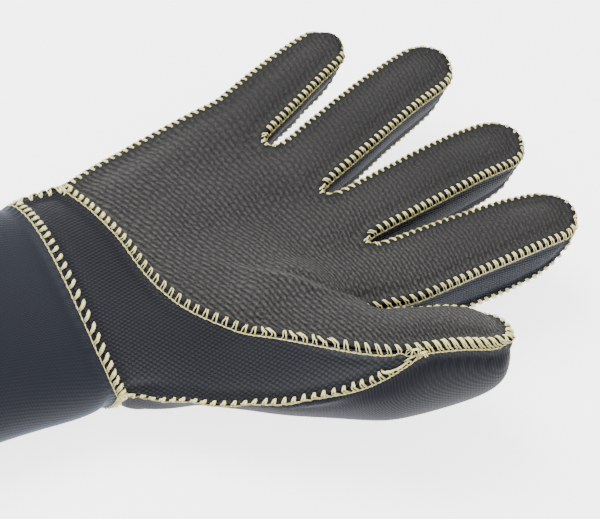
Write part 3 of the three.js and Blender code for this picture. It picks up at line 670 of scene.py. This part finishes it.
@dataclass
class Panel:
    """One sewn panel of the glove, rounded from its solid."""

    node: str
    finish: GripCloth | Jersey
    lip: float = 1.0
    valley: float = 0.4 * MM
    levels: int = 3
    touch: float = 1.6 * MM
    free_end: bool = False
    lay: Lay = Lay.FLAT
    places: Array = field(init=False, repr=False)
    normals: Array = field(init=False, repr=False)
    outer: Array = field(init=False, repr=False)
    rims: list[list[int]] = field(init=False, repr=False)
    inward: Array = field(init=False, repr=False)
    mesh: Mesh = field(init=False, repr=False)

    def build(self, others: KDTree, solids: BVHTree) -> None:
        """Rounds the solid and finds the panel's outer edge.

        Args:
            others: Vertices of all the other nodes.
            solids: Faces of all the nodes.
        """
        bm = bmesh.new()
        bm.from_mesh(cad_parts[self.node].data)
        bmesh.ops.remove_doubles(bm, verts=bm.verts, dist=1e-6)
        bmesh.ops.join_triangles(
            bm, faces=bm.faces, angle_face_threshold=JOIN_ANGLE, angle_shape_threshold=JOIN_SHAPE
        )
        bm.verts.index_update()
        bm.normal_update()
        skins = self._skins(bm, others, solids)
        layer = bm.verts.layers.float.new("outer")
        crease = bm.edges.layers.float.new("crease_edge")
        for v in bm.verts:
            v[layer] = float(skins[v.index])
        for edge in bm.edges:
            sides = [{skins[v.index] for v in face.verts} for face in edge.link_faces]
            if len(sides) == 2 and sides[0] != sides[1]:
                edge[crease] = 1.0
        base = bpy.data.meshes.new(self.node + "_base")
        bm.to_mesh(base)
        bm.free()
        self.mesh = self._rounded(base)
        self._measure()

    def _openness(self, skin: Sequence[bmesh.types.BMVert], solids: BVHTree) -> float:
        """Returns the share of a skin's sight lines that leave the glove."""
        some = skin[:: max(1, len(skin) // SIGHT_LINES)]
        hits = [solids.ray_cast(v.co + v.normal * SIGHT_START, v.normal)[0] for v in some]
        return sum(hit is None for hit in hits) / len(some)

    def _skins(self, bm: bmesh.types.BMesh, others: KDTree, solids: BVHTree) -> list[int]:
        """Tells the panel's outer skin from its inner one.

        Args:
            bm: The panel's solid.
            others: Vertices of all the other nodes.
            solids: Faces of all the nodes.

        Returns:
            For each vertex, 1 on the outer skin and 0 on the inner one.
        """

        end = min(v.co.x for v in bm.verts) + self.touch if self.free_end else -math.inf
        rim = [others.find(v.co)[2] < self.touch or v.co.x < end for v in bm.verts]
        label = [-1] * len(bm.verts)
        groups: list[list[int]] = []
        bm.verts.ensure_lookup_table()
        for seed in bm.verts:
            if rim[seed.index] or label[seed.index] >= 0:
                continue
            label[seed.index] = len(groups)
            group, waiting = [], [seed]
            while waiting:
                v = waiting.pop()
                group.append(v.index)
                for edge in v.link_edges:
                    near = edge.other_vert(v)
                    if not rim[near.index] and label[near.index] < 0:
                        label[near.index] = len(groups)
                        waiting.append(near)
            groups.append(group)
        order = sorted(range(len(groups)), key=lambda g: len(groups[g]), reverse=True)[:2]
        openness = {g: self._openness([bm.verts[i] for i in groups[g]], solids) for g in order}
        LOG.info("%s: openness of its skins %s", self.node, [round(share, 2) for share in openness.values()])
        first = max(order, key=openness.get)
        outer = {g: int(g == first) for g in order}
        named = [outer.get(g, -1) for g in label]
        beside = {v.index: [e.other_vert(v).index for e in v.link_edges] for v in bm.verts}
        for _ in range(VOTE_ROUNDS):
            votes = {i: [named[n] for n in near if named[n] >= 0] for i, near in beside.items() if named[i] < 0}
            for index, vote in votes.items():
                if vote and sum(vote) * 2 != len(vote):
                    named[index] = int(sum(vote) * 2 > len(vote))
        return [max(0, n) for n in named]

    def _rounded(self, base: Mesh) -> Mesh:
        """Returns the base mesh after subdivision."""
        holder = linked(self.node + "_holder", base)
        modifier = holder.modifiers.new("rounding", "SUBSURF")
        modifier.levels = modifier.render_levels = self.levels
        mesh = evaluated(holder)
        mesh.name = self.node
        return mesh

    def _measure(self) -> None:
        """Shifts the cloth softly, and reads its normals, its outer mask and its outer rims."""
        self.places = read_places(self.mesh)
        self.places += sum(change.apply(self.places) for change in (*NUDGES, *FOLDS))
        write_places(self.mesh, self.places)
        values = np.empty(len(self.places))
        self.mesh.attributes["outer"].data.foreach_get("value", values)
        self.outer = values > WHOLLY_OUTER
        bm = bmesh.new()
        bm.from_mesh(self.mesh)

        is_outer = [all(self.outer[v.index] for v in face.verts) for face in bm.faces]
        edges = [
            e for e in bm.edges
            if len(e.link_faces) == 2 and is_outer[e.link_faces[0].index] != is_outer[e.link_faces[1].index]
        ]
        self.rims = [loop for loop in polyline_loops(edges) if len(loop) > SHORTEST_RIM]
        self.normals = np.zeros_like(self.places)
        self.inward = np.zeros_like(self.places)

        for face in bm.faces:
            if not is_outer[face.index]:
                continue
            middle = np.array(face.calc_center_median())
            for v in face.verts:
                self.normals[v.index] += np.array(face.normal) * face.calc_area()
                self.inward[v.index] += middle - self.places[v.index]
        bm.free()
        self.normals = unit(self.normals)
        self.inward -= self.normals * np.sum(self.inward * self.normals, axis=1)[:, None]
        self.inward = unit(self.inward)

    def sewn(self, index: int) -> bool:
        """Whether a rim vertex lies on a seam and not on a free edge."""
        return not (self.free_end and self.places[index][0] < self.places[:, 0].min() + FREE_EDGE)

    def outer_skin(self) -> tuple[Array, list[list[int]]]:
        """Returns the panel's places and its outer faces."""
        faces = [list(polygon.vertices) for polygon in self.mesh.polygons]
        return self.places, [corners for corners in faces if self.outer[corners].all()]

    def raise_edges(self, line: KDTree, crest: Array) -> None:
        """Lifts the outer skin along the seams into a rounded lip, with a shallow valley behind it.

        Args:
            line: Samples of all the seams.
            crest: Height of the lip at each sample.
        """
        found = [line.find(place) for place in self.places]
        away = np.array([distance for _, _, distance in found])
        height = self.lip * crest[[number for _, number, _ in found]]
        lip = height * bell(away, LIP_AT, LIP_WIDTH)
        valley = self.valley * bell(away, VALLEY_AT, VALLEY_WIDTH)
        self.places[self.outer] += (self.normals * (lip - valley)[:, None])[self.outer]
        self.places[:, 2] = np.maximum(self.places[:, 2], 0.0)
        write_places(self.mesh, self.places)
        write_values(self.mesh, "rim_mm", np.where(self.outer, away / MM, 0.0))
        # The fold's crest, which the palm's cloth paints as a pale highlight line.
        write_values(self.mesh, "crease", np.sum([fold.crest(self.places) for fold in FOLDS], axis=0))

    def lay_cloth(self, guide: "Seam") -> None:
        """Gives the panel's cloth its own flat coordinates.

        Args:
            guide: The palm's seam, which the side strips follow.
        """
        if self.lay is Lay.ALONG:
            tree = search_tree(guide.places)
            along = [guide.lengths[tree.find(place)[1]] for place in self.places]
            flat = np.stack([along, self.places[:, 2]], axis=1)
        elif self.lay is Lay.FLAT:
            flat = self.places[:, :2]
        elif self.lay is Lay.WRAPPED:
            flat = np.stack([self.places[:, 0], self.places[:, 2] - self.places[:, 1]], axis=1)
        elif self.lay is Lay.FITTED:
            middle = self.places[self.outer].mean(axis=0)
            _, _, axes = np.linalg.svd(self.places[self.outer] - middle, full_matrices=False)
            flat = (self.places - middle) @ axes[:2].T
        elif self.lay is Lay.ROUND:
            middle = self.places.mean(axis=0)
            out = self.places[:, 1:] - middle[1:]
            radius = np.linalg.norm(out, axis=1).mean()
            flat = np.stack([self.places[:, 0], np.arctan2(out[:, 0], out[:, 1]) * radius], axis=1)
        layer = self.mesh.uv_layers.new(name="cloth")
        corners = np.empty(len(self.mesh.loops), int)
        self.mesh.loops.foreach_get("vertex_index", corners)
        layer.data.foreach_set("uv", flat[corners].ravel())

    def dress(self, material: Material) -> bpy.types.Object:
        """Makes the finished piece.

        Args:
            material: The cloth's material.

        Returns:
            The piece, riding on the glove in place of its solid.
        """
        piece = linked(self.node + "_cloth", coloured(self.mesh, material))
        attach(piece, BODY)
        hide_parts(self.node)
        return piece


# --- Seams and thread ---


def smoothed(rows: Array, passes: int, closed: bool) -> Array:
    """Averages each row with its neighbours.

    Args:
        rows: The rows, in order.
        passes: How many times over.
        closed: Whether the last row meets the first.

    Returns:
        The smoothed rows.
    """

    rows = rows.copy()
    for _ in range(passes):
        mean = (np.roll(rows, 1, axis=0) + np.roll(rows, -1, axis=0) + 2 * rows) / 4
        if not closed:
            mean[0], mean[-1] = rows[0], rows[-1]
        rows = mean
    return rows


@dataclass(frozen=True)
class Stitch:
    """Shape of one overlock stitch, an upside-down V with a chain along its feet, in millimetres."""

    pitch: float = 2.8
    rise: float = 2.3
    drop: float = 1.6
    slant: float = 0.9
    spread: float = 1.1
    gap: float = 0.45
    front: float = 0.31
    back: float = 0.24
    foot: float = 0.6
    crest: float = 1.0

    def toward(self, other: "Stitch", share: float) -> "Stitch":
        """Returns the stitch that lies between this one and another."""
        own, others = vars(self), vars(other)
        return Stitch(**{key: value + (others[key] - value) * share for key, value in own.items()})


# Pitch, rise, drop, slant, spread, gap, front, back, foot and crest of each kind of stitch
FINGER = Stitch()
NEAR_B = Stitch(2.4, 1.9, 1.2, 1.3, 0.6, 0.5, 0.4, 0.36, 0.5, 1.0)
FAR = Stitch(2.75, 1.7, 1.6, -0.1, 0.7, 0.3, 0.34, 0.28, 0.6, 0.7)
HIDDEN = Stitch(rise=0.6, drop=1.7, crest=0.3)
HEEL = Stitch(3.15, 2.5, 1.7, 2.3, 1.35, 0.35, 0.27, 0.2, 0.8, 1.0)
THUMB = Stitch(2.95, 2.7, 1.7, 2.4, 1.2, 0.7, 0.42, 0.36, 0.5, 1.2)
WRIST_NEAR_A = Stitch(2.45, 1.8, 1.2, 0.7, 0.5, 0.5, 0.42, 0.38, 0.35, 0.9)
WRIST = Stitch(3.8, 1.8, 1.3, 2.5, 0.6, 0.55, 0.42, 0.38, 0.3, 0.9)
WRIST_NEAR_D = Stitch(2.3, 1.9, 1.3, 1.6, 0.6, 0.5, 0.4, 0.36, 0.35, 0.9)
BACK = Stitch(3.0, 3.1, 1.0, 2.5, 0.8, 0.5, 0.45, 0.4, 0.5, 1.3)
LOW = Stitch(2.8, 1.1, 1.6, 0.9, 0.9, 0.35, 0.32, 0.26, 0.6, 0.6)
SIDE = Stitch(3.1, 3.3, 1.3, 2.3, 1.3, 0.35, 0.34, 0.28, 0.9, 1.1)


def palm_stitch(place: Array, inward: Array) -> Stitch:
    """Stitch of the palm's seam: slanting on the heel, close on the fingers, fat on the thumb.

    Args:
        place: Place on the seam. The ramps' numbers are places on the glove, in millimetres.
        inward: Way from the seam into the palm.

    Returns:
        The stitch there.
    """

    x, y, z = place / MM
    near_b = ramp(x, 5, -20)
    heel = ramp(x, 60, 35) * ramp(y, 30, 5)
    thumb = ramp(x, 22, 34) * ramp(y, -53, -57)
    far_edge = ramp(x, 22, 27) * ramp(y, -56, -52) * ramp(z, 34, 37)
    far = ramp(-inward[1], 0.3, 0.75)
    stitch = FINGER.toward(FAR, far).toward(NEAR_B, near_b * (1 - far))
    return stitch.toward(HEEL, heel).toward(THUMB, thumb).toward(HIDDEN, far_edge)


def back_stitch(place: Array, _: Array) -> Stitch:
    """Stitch of the back's seam: open by the heel, fat along the index, low between the fingers."""
    x, y = place[0] / MM, place[1] / MM
    between = ramp(x, 24, 34) * ramp(y, -20, -16)
    return BACK.toward(SIDE, ramp(x, 26, 22) * ramp(y, -8, -14)).toward(LOW, between)


def wrist_stitch(place: Array, _: Array) -> Stitch:
    """Stitch of the wrist's seam: wide in the middle of the heel, close at both of its ends."""
    y = place[1] / MM
    return WRIST_NEAR_A.toward(WRIST, ramp(y, 40, 0)).toward(WRIST_NEAR_D, ramp(y, -2, -16))


@dataclass
class Seam:
    """Line along which a panel is sewn to its neighbours."""

    places: Array
    normals: Array
    upper: Array
    lower: Array
    closed: bool
    style: Callable[[Array, Array], Stitch]
    heading: tuple
    lookout: tuple
    step: float = 0.4 * MM
    around: int = 3
    smoothings: int = 3
    pinch: float = 0.4
    length: float = field(init=False)
    stations: list[float] = field(init=False)
    lengths: Array = field(init=False)

    def __post_init__(self) -> None:
        """Turns the line the way it is sewn, resamples it evenly and sets out the stitches."""
        nearest = int(np.argmax(self.places @ np.array(self.lookout)))
        last = len(self.places) - 1
        ends = min(nearest + self.around, last), max(nearest - self.around, 0)
        if (self.places[ends[0]] - self.places[ends[1]]) @ np.array(self.heading) < 0:
            for name in ROWS:
                setattr(self, name, getattr(self, name)[::-1])
        steps = np.linalg.norm(np.diff(self._closed_up(self.places), axis=0), axis=1)
        run = np.concatenate([[0.0], np.cumsum(steps)])
        self.length = run[-1]
        self.lengths = np.linspace(0.0, self.length, max(4, int(self.length / self.step)) + 1)
        for name in ROWS:
            values = self._closed_up(getattr(self, name))
            even = np.stack([np.interp(self.lengths, run, column) for column in values.T], axis=1)
            even = smoothed(even[:-1] if self.closed else even, self.smoothings, self.closed)
            setattr(self, name, self._closed_up(even))
        self.normals, self.upper, self.lower = unit(self.normals), unit(self.upper), unit(self.lower)
        self.stations = []
        at = FIRST_STITCH
        while at < self.length - LAST_STITCH:
            self.stations.append(at)
            at += self.stitch(at).pitch * MM

    def _closed_up(self, rows: Array) -> Array:
        """Returns the rows, with the first one again at the end of a closed line."""
        return np.concatenate([rows, rows[:1]]) if self.closed else rows

    def at(self, name: str, length: float) -> Array:
        """Returns a row of the named values at a length along the line."""
        values = getattr(self, name)
        if self.closed:
            length %= self.length
        return np.array([np.interp(length, self.lengths, values[:, axis]) for axis in range(3)])

    def stitch(self, length: float) -> Stitch:
        """Returns the stitch at a length along the line."""
        return self.style(self.at("places", length), self.at("upper", length))

    def crests(self) -> Array:
        """Returns the height of the lip at each sample: lower where the thread pulls it down."""
        stations = np.array(self.stations)
        after = np.clip(np.searchsorted(stations, self.lengths), 1, len(stations) - 1)
        before = stations[after - 1]
        share = (self.lengths - before) / np.maximum(stations[after] - before, 1e-9)
        pinch = 0.5 + 0.5 * np.cos(2 * math.pi * share)
        crest = np.array([self.style(place, inward).crest for place, inward in zip(self.places, self.upper)])
        return crest * (1.0 - self.pinch * pinch) * MM


def seams_of(panel: Panel, panels: Sequence[Panel], sewn: list[Array], **how: object) -> list[Seam]:
    """Finds the stretches of a panel's edge that are not sewn yet.

    Args:
        panel: Panel whose edge is looked at.
        panels: All the panels.
        sewn: Places that already carry a seam.
        **how: How the seams are sewn: style, heading and lookout.

    Returns:
        The new seams.
    """
    neighbours = [(other, i) for other in panels if other is not panel for loop in other.rims for i in loop]
    tree = search_tree(other.places[i] for other, i in neighbours)
    taken = search_tree(sewn)
    found = []
    for loop in panel.rims:
        free = [panel.sewn(i) and (not sewn or taken.find(panel.places[i])[2] > SAME_SEAM) for i in loop]
        if not any(free):
            continue
        closed = all(free)
        if not closed:
            first = next(k for k in range(len(loop)) if free[k] and not free[k - 1])
            loop = loop[first:] + loop[:first]
            free = free[first:] + free[:first]
        runs: list[list[int]] = [[]]
        for index, ok in zip(loop, free):
            if ok:
                runs[-1].append(index)
            elif runs[-1]:
                runs.append([])
        for run in (r for r in runs if len(r) > SHORTEST_RUN):
            near = [neighbours[tree.find(panel.places[i])[1]] for i in run]
            found.append(
                Seam(
                    places=panel.places[run],
                    normals=unit(panel.normals[run] + np.array([other.normals[i] for other, i in near])),
                    upper=panel.inward[run],
                    lower=np.array([other.inward[i] for other, i in near]),
                    closed=closed,
                    **how,
                )
            )
    return found


@dataclass
class Stitching:
    """Thread of one group of seams."""

    name: str
    seams: list[Seam]
    swap: bool = False
    chain_radius: float = 0.14 * MM
    chain_sway: float = 0.2 * MM
    seed: int = 7
    dice: random.Random = field(init=False, repr=False)
    curve: bpy.types.Curve = field(init=False, repr=False)
    surface: BVHTree = field(init=False, repr=False)
    axis: list[Vector] = field(init=False, repr=False, default_factory=list)
    shades: list[float] = field(init=False, repr=False, default_factory=list)

    def _on_cloth(self, seam: Seam, where: float, across: float, height: float) -> Vector:
        """Finds a point over the cloth.

        Args:
            seam: The seam.
            where: Length along it.
            across: Distance above it, or below it where negative.
            height: Distance from the cloth.

        Returns:
            The point.
        """
        upper, lower = ("lower", "upper") if self.swap else ("upper", "lower")
        way = seam.at(upper, where) * across if across > 0 else seam.at(lower, where) * -across
        start = Vector(seam.at("places", where) + way + seam.at("normals", where) * HOVER)
        found, facing, _, _ = self.surface.find_nearest(start)
        return found + facing * height

    def _leg(self, seam: Seam, stitch: Stitch, top: float, foot: float, size: float) -> list[Vector]:
        """Sets out one leg of a stitch.

        Args:
            seam: The seam.
            stitch: Shape of the stitch.
            top: Length along the seam at the leg's top.
            foot: Length along the seam at the leg's foot.
            size: The leg's radius.

        Returns:
            The leg's points, from its top to its foot.
        """
        points = []
        for number in range(LEG_POINTS):
            share = number / (LEG_POINTS - 1)
            across = (stitch.rise - (stitch.rise + stitch.drop) * share) * MM
            height = size * (LEG_SUNK if number == 0 else 1.0)
            points.append(self._on_cloth(seam, top + (foot - top) * share, across, height))
        return points

    def _chain(self, seam: Seam, phase: float) -> list[Vector]:
        """Sets out one strand of the chain.

        Args:
            seam: The seam.
            phase: Turn at which the strand starts.

        Returns:
            The strand's points.
        """
        points = []
        stations = np.array([0.0, *seam.stations, seam.length])
        for a, b in zip(stations[:-1], stations[1:]):
            drop = seam.stitch(a).drop * MM
            for share in CHAIN_SHARES:
                turn = 2 * math.pi * share + phase
                across = -drop + self.chain_sway * math.cos(turn)
                height = self.chain_radius * (1.0 + CHAIN_LIFT * math.sin(turn))
                points.append(self._on_cloth(seam, a + (b - a) * share, across, height))
        return points

    def _knot(self, centre: Array, size: float) -> list[Vector]:
        """Sets out one short strand that is wound over a knot.

        Args:
            centre: The knot's middle.
            size: The strand's radius.

        Returns:
            The strand's points.
        """
        chance = self.dice.uniform
        turn = chance(0.0, math.pi)
        half = chance(*KNOT_SPANS) * KNOT_REACH
        side = Vector((math.cos(turn), math.sin(turn), chance(-KNOT_TILT, KNOT_TILT))) * half
        drift = Vector([chance(-KNOT_DRIFT, KNOT_DRIFT) * KNOT_REACH for _ in range(3)])
        lift = chance(*KNOT_LIFTS)
        points = []
        for number in range(LEG_POINTS):
            share = number / (LEG_POINTS - 1)
            start = Vector(centre) + drift + side * (2 * share - 1)
            found, facing, _, _ = self.surface.find_nearest(start)
            points.append(found + facing * size * (KNOT_BASE + lift * math.sin(math.pi * share)))
        return points

    def knots(self) -> list[Array]:
        """Returns the places where open seams end, each once."""
        places: list[Array] = []
        for seam in (seam for seam in self.seams if not seam.closed):
            for end in (seam.places[0], seam.places[-1]):
                if all(np.linalg.norm(end - other) > 2 * KNOT_REACH for other in places):
                    places.append(end)
        return places

    def _strand(self, points: list[Vector], sizes: Sequence[float], shades: Sequence[float]) -> None:
        """Adds one strand to the curve.

        Args:
            points: Its points.
            sizes: Its radius at each point.
            shades: Its painted shade at each point, 1 where it is fully lit.
        """
        spline = self.curve.splines.new("POLY")
        spline.points.add(len(points) - 1)
        spline.points.foreach_set("co", [c for p in points for c in (*p, 1.0)])
        spline.points.foreach_set("radius", list(sizes))
        self.axis.extend(points)
        self.shades.extend(shades)

    def _add_stitch(self, seam: Seam, station: float) -> None:
        """Adds both legs of a stitch.

        Args:
            seam: The seam.
            station: Length along it.
        """
        stitch = seam.stitch(station)
        top = station - stitch.slant * MM * self.dice.uniform(*LEAN_CHANCE)
        foot = top + stitch.slant * MM
        shares = np.linspace(0.0, 1.0, LEG_POINTS)
        swell = np.interp(shares, LEG_MARKS, (*LEG_SWELL, stitch.foot))
        for side, radius in ((0.5, stitch.front), (-0.5, stitch.back)):
            size = radius * MM * self.dice.uniform(*SIZE_CHANCE)
            ends = top + side * stitch.gap * MM, foot + side * stitch.spread * MM
            self._strand(self._leg(seam, stitch, *ends, size), size * swell, np.interp(shares, *LEG_SHADES))

    def build(self, surface: BVHTree, material: Material) -> bpy.types.Object:
        """Makes the thread of all the seams.

        Args:
            surface: Outer faces of all the panels.
            material: The thread's material.

        Returns:
            The finished piece.
        """
        self.surface = surface
        self.dice = random.Random(self.seed)
        self.curve = bpy.data.curves.new(self.name, "CURVE")
        self.curve.dimensions = "3D"
        self.curve.bevel_depth = 1.0
        self.curve.bevel_resolution = 1
        self.curve.use_fill_caps = True
        for seam in self.seams:
            for station in seam.stations:
                self._add_stitch(seam, station)
            for phase in (0.0, math.pi):
                points = self._chain(seam, phase)
                self._strand(points, [self.chain_radius] * len(points), [CHAIN_SHADE] * len(points))
        for centre in self.knots():
            for _ in range(KNOT_STRANDS):
                size = self.dice.uniform(*KNOT_SIZES) * MM
                self._strand(self._knot(centre, size), size * KNOT_SWELL, [1.0] * LEG_POINTS)
        mesh = evaluated(linked(self.name + "_path", self.curve))
        places = read_places(mesh)
        places[:, 2] = np.maximum(places[:, 2], 0.0)
        write_places(mesh, places)
        # Each vertex takes the painted shade of the nearest point on its strand's axis.
        middles = search_tree(self.axis)
        write_values(mesh, "rubbed", [self.shades[middles.find(place)[1]] for place in places])
        piece = linked(self.name, coloured(mesh, material))
        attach(piece, BODY)
        return piece


# --- Studio ---


@dataclass
class Studio:
    """Floor, lights and camera."""

    eye: tuple = (-0.2800, -0.2383, 0.4836)
    right: tuple = (0.802, -0.539, 0.258)
    back: tuple = (-0.510, -0.391, 0.766)
    lens: float = 112.08
    floor_size: float = 6.0
    sensor: float = 36.0
    nearest: float = 0.01
    floor_size: float = 6.0
    room: float = 1.15

    def floor(self) -> None:
        """Lays the floor."""
        bm = bmesh.new()
        bmesh.ops.create_grid(bm, x_segments=1, y_segments=1, size=self.floor_size / 2)
        mesh = bpy.data.meshes.new("studio_floor")
        bm.to_mesh(mesh)
        bm.free()
        mesh.materials.append(FloorPaint().material())
        linked("studio_floor", mesh)

    def light(self, name: str, place: tuple, target: tuple, size: float, watts: float) -> None:
        """Adds a soft square light.

        Args:
            name: The light's name.
            place: Where it hangs.
            target: The point that it faces.
            size: Its side.
            watts: Its power.
        """
        data = bpy.data.lights.new(name, "AREA")
        data.size = size
        data.energy = watts
        lamp = linked(name, data)
        lamp.location = place
        lamp.rotation_euler = (Vector(place) - Vector(target)).to_track_quat("Z", "Y").to_euler()

    def lights(self) -> None:
        """Hangs the lights and brightens the room."""
        self.light("key_light", (-0.5, 0.9, 1.5), (0.0, 0.0, 0.0), 1.0, 48.0)
        self.light("fill_light", (-0.9, -0.6, 1.4), (0.0, 0.0, 0.0), 1.4, 4.0)
        world = bpy.data.worlds.new("room")
        world.use_nodes = True
        background = world.node_tree.nodes["Background"].inputs
        background["Color"].default_value = (1.0, 1.0, 1.0, 1.0)
        background["Strength"].default_value = self.room
        bpy.context.scene.world = world

    def camera(self) -> None:
        """Sets the camera at the photograph's angle."""
        data = bpy.data.cameras.new("camera")
        data.sensor_width = self.sensor
        data.lens = self.lens
        data.clip_start = self.nearest
        camera = linked("camera", data)
        right = Vector(self.right).normalized()
        back = Vector(self.back).normalized()
        up = back.cross(right).normalized()
        right = up.cross(back).normalized()
        turn = Matrix((right, up, back)).transposed().to_4x4()
        camera.matrix_world = Matrix.Translation(self.eye) @ turn
        bpy.context.scene.camera = camera


# --- Glove ---


def make_panels() -> dict[str, Panel]:
    """Rounds the nine panels from their solids.

    Returns:
        The panels by name.
    """
    panels = (
        Panel("palm_panel", GRIP),
        Panel("back_panel", BACK_KNIT, lay=Lay.WRAPPED),
        Panel("ulnar_side_strip", SHADED_SIDE_KNIT, lip=1.3, lay=Lay.ALONG),
        *(Panel(name, SHADED_SIDE_KNIT, lip=0.75, lay=Lay.ALONG) for name in STRIPS),
        Panel("heel_panel", HEEL_KNIT, lay=Lay.FITTED),
        Panel("cuff", CUFF_KNIT, lay=Lay.ROUND, free_end=True),
    )
    places = {name: [v.co.copy() for v in node.data.vertices] for name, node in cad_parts.items()}
    solids = face_tree(
        (places[name], [list(polygon.vertices) for polygon in node.data.polygons])
        for name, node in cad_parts.items()
    )
    for panel in panels:
        others = search_tree(p for name, listed in places.items() if name != panel.node for p in listed)
        panel.build(others, solids)
        LOG.info("%s: %d rims %s", panel.node, len(panel.rims), [len(r) for r in panel.rims])
    return {panel.node: panel for panel in panels}


def set_out_thread(panels: dict[str, Panel]) -> list[Stitching]:
    """Finds the seams and sets out their stitches.

    Args:
        panels: The panels by name.

    Returns:
        The thread of the palm's, the wrist's, the back's and the side's seams.
    """
    sewn: list[Array] = []
    groups: list[Stitching] = []
    for name, node, swap, style, heading, lookout in (
        ("palm_seam_thread", "palm_panel", False, palm_stitch, FINGERWARD, NEAR_SIDE),
        ("wrist_seam_thread", "cuff", True, wrist_stitch, THUMBWARD, TOP),
        ("back_seam_thread", "back_panel", True, back_stitch, FINGERWARD, NEAR_SIDE),
        ("side_seam_thread", "heel_panel", False, lambda place, _: SIDE, FINGERWARD, NEAR_SIDE),
    ):
        how = {"style": style, "heading": heading, "lookout": lookout}
        seams = seams_of(panels[node], list(panels.values()), sewn, **how)
        sewn.extend(place for seam in seams for place in seam.places)
        groups.append(Stitching(name, seams, swap))
        LOG.info("%s: %d seams, %d stitches", name, len(seams), sum(len(seam.stations) for seam in seams))
    return groups


def main() -> None:
    """Builds the glove and the studio."""
    logging.basicConfig(level=logging.INFO, format="%(message)s")
    materials = {finish: finish.material() for finish in (GRIP, HEEL_KNIT, CUFF_KNIT, SHADED_SIDE_KNIT, BACK_KNIT)}
    panels = make_panels()
    groups = set_out_thread(panels)
    seams = [seam for group in groups for seam in group.seams]
    line = search_tree(place for seam in seams for place in seam.places)
    crest = np.concatenate([seam.crests() for seam in seams])
    for panel in panels.values():
        panel.raise_edges(line, crest)
        panel.lay_cloth(groups[0].seams[0])
        piece = panel.dress(materials[panel.finish])
        LOG.info("%s: %d faces", piece.name, len(piece.data.polygons))
    surface = face_tree(panel.outer_skin() for panel in panels.values())
    thread = Thread().material()
    for group in groups:
        piece = group.build(surface, thread)
        LOG.info("%s: %d faces", piece.name, len(piece.data.polygons))
    studio = Studio()
    studio.floor()
    studio.lights()
    studio.camera()


if __name__ == "__main__":
    main()
